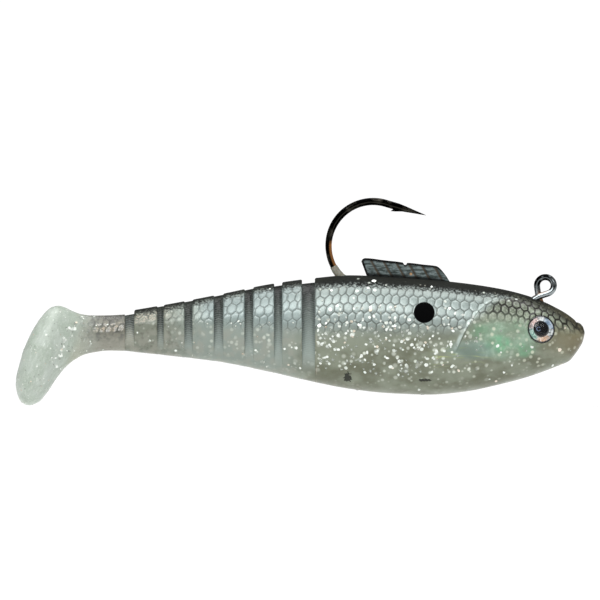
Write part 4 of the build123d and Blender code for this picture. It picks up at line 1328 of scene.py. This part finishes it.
INNER = {
    "lead_keel": simple("cast_lead", paint(84, 86, 90), paint(140, 143, 148), 1.2, metallic=0.85,
                        roughness=0.55),
    "flash_foil": simple("flash_foil", paint(120, 196, 160), paint(216, 232, 222), 2.0, metallic=0.9,
                         roughness=0.18),
    "eye_pad": simple("foam_tape", paint(206, 206, 200), paint(236, 236, 230), 0.3, roughness=0.8),
}
for name, node in frame["nodes"].items():
    for start, material in INNER.items():
        if name.startswith(start):
            node.data.materials.clear()
            node.data.materials.append(material)
            print(f"{name}: {material.name}")

# %% [markdown]
# ## Light, floor and camera
# The lure hangs from its line tie in a white tent, so it is lit softly from all round. One broad light
# stands in front of it, another above it, and a long strip draws a highlight along the flank. A long lens
# keeps the side view free of perspective.

# %% Studio
FRAME_WIDTH = 0.108  # what the camera sees across, in metres
CENTRE = (-0.04417, 0.0, -0.00261)  # what it looks at
FLOOR, FLOOR_RADIUS, FLOOR_CORNERS = -0.06, 3.0, 96


def studio():
    world = bpy.data.worlds.new("white_tent")
    world.use_nodes = True
    tree = world.node_tree
    background = tree.nodes["Background"]
    seen = tree.nodes.new("ShaderNodeLightPath")
    level = tree.nodes.new("ShaderNodeMapRange")
    level.inputs["To Min"].default_value = 0.33
    level.inputs["To Max"].default_value = 1.05
    tree.links.new(seen.outputs["Is Camera Ray"], level.inputs["Value"])
    tree.links.new(level.outputs[0], background.inputs["Strength"])
    background.inputs["Color"].default_value = (1.0, 1.0, 1.0, 1.0)
    bpy.context.scene.world = world
    bpy.context.scene.view_settings.view_transform = "Standard"


def sun(name, turn, strength, spread):
    light = bpy.data.lights.new(name, "SUN")
    light.energy, light.angle = strength, np.radians(spread)
    made = bpy.data.objects.new(name, light)
    made.rotation_euler = np.radians(turn)
    bpy.context.scene.collection.objects.link(made)


def strip(name, place, turn, width, height, power):
    light = bpy.data.lights.new(name, "AREA")
    light.shape, light.size, light.size_y, light.energy = "RECTANGLE", width, height, power
    made = bpy.data.objects.new(name, light)
    made.location, made.rotation_euler = place, np.radians(turn)
    bpy.context.scene.collection.objects.link(made)


studio()
sun("key", (48, 0, -18), 0.9, 35)
sun("top", (4, 0, 0), 2.0, 50)
strip("flank_strip", (-0.03, -0.35, 0.22), (60, 0, 0), 0.5, 0.08, 0.35)

angle = np.linspace(0, 2 * np.pi, FLOOR_CORNERS, endpoint=False)
disc = [(FLOOR_RADIUS * np.cos(a), FLOOR_RADIUS * np.sin(a), FLOOR) for a in angle]
floor_mesh = bpy.data.meshes.new("floor")
floor_mesh.from_pydata(disc, [], [list(range(FLOOR_CORNERS))])
floor = bpy.data.objects.new("floor", floor_mesh)
bpy.context.scene.collection.objects.link(floor)
paper = Finish("white_paper", roughness=0.9, specular_level=0.1)
where = paper.node("ShaderNodeTexCoord", {}, output="Object")
paper.set(base_color=paper.mix(paper.noise(where, 0.004, 2.0), (0.93, 0.93, 0.93), (0.96, 0.96, 0.96)))
floor_mesh.materials.append(paper.material)

camera_data = bpy.data.cameras.new("camera")
camera_data.lens, camera_data.sensor_width = 500, 36
camera = bpy.data.objects.new("camera", camera_data)
distance = FRAME_WIDTH * camera_data.lens / camera_data.sensor_width
camera.location = (CENTRE[0], -distance, CENTRE[2])
camera.rotation_euler = (np.pi / 2, 0, 0)
bpy.context.scene.collection.objects.link(camera)
bpy.context.scene.camera = camera
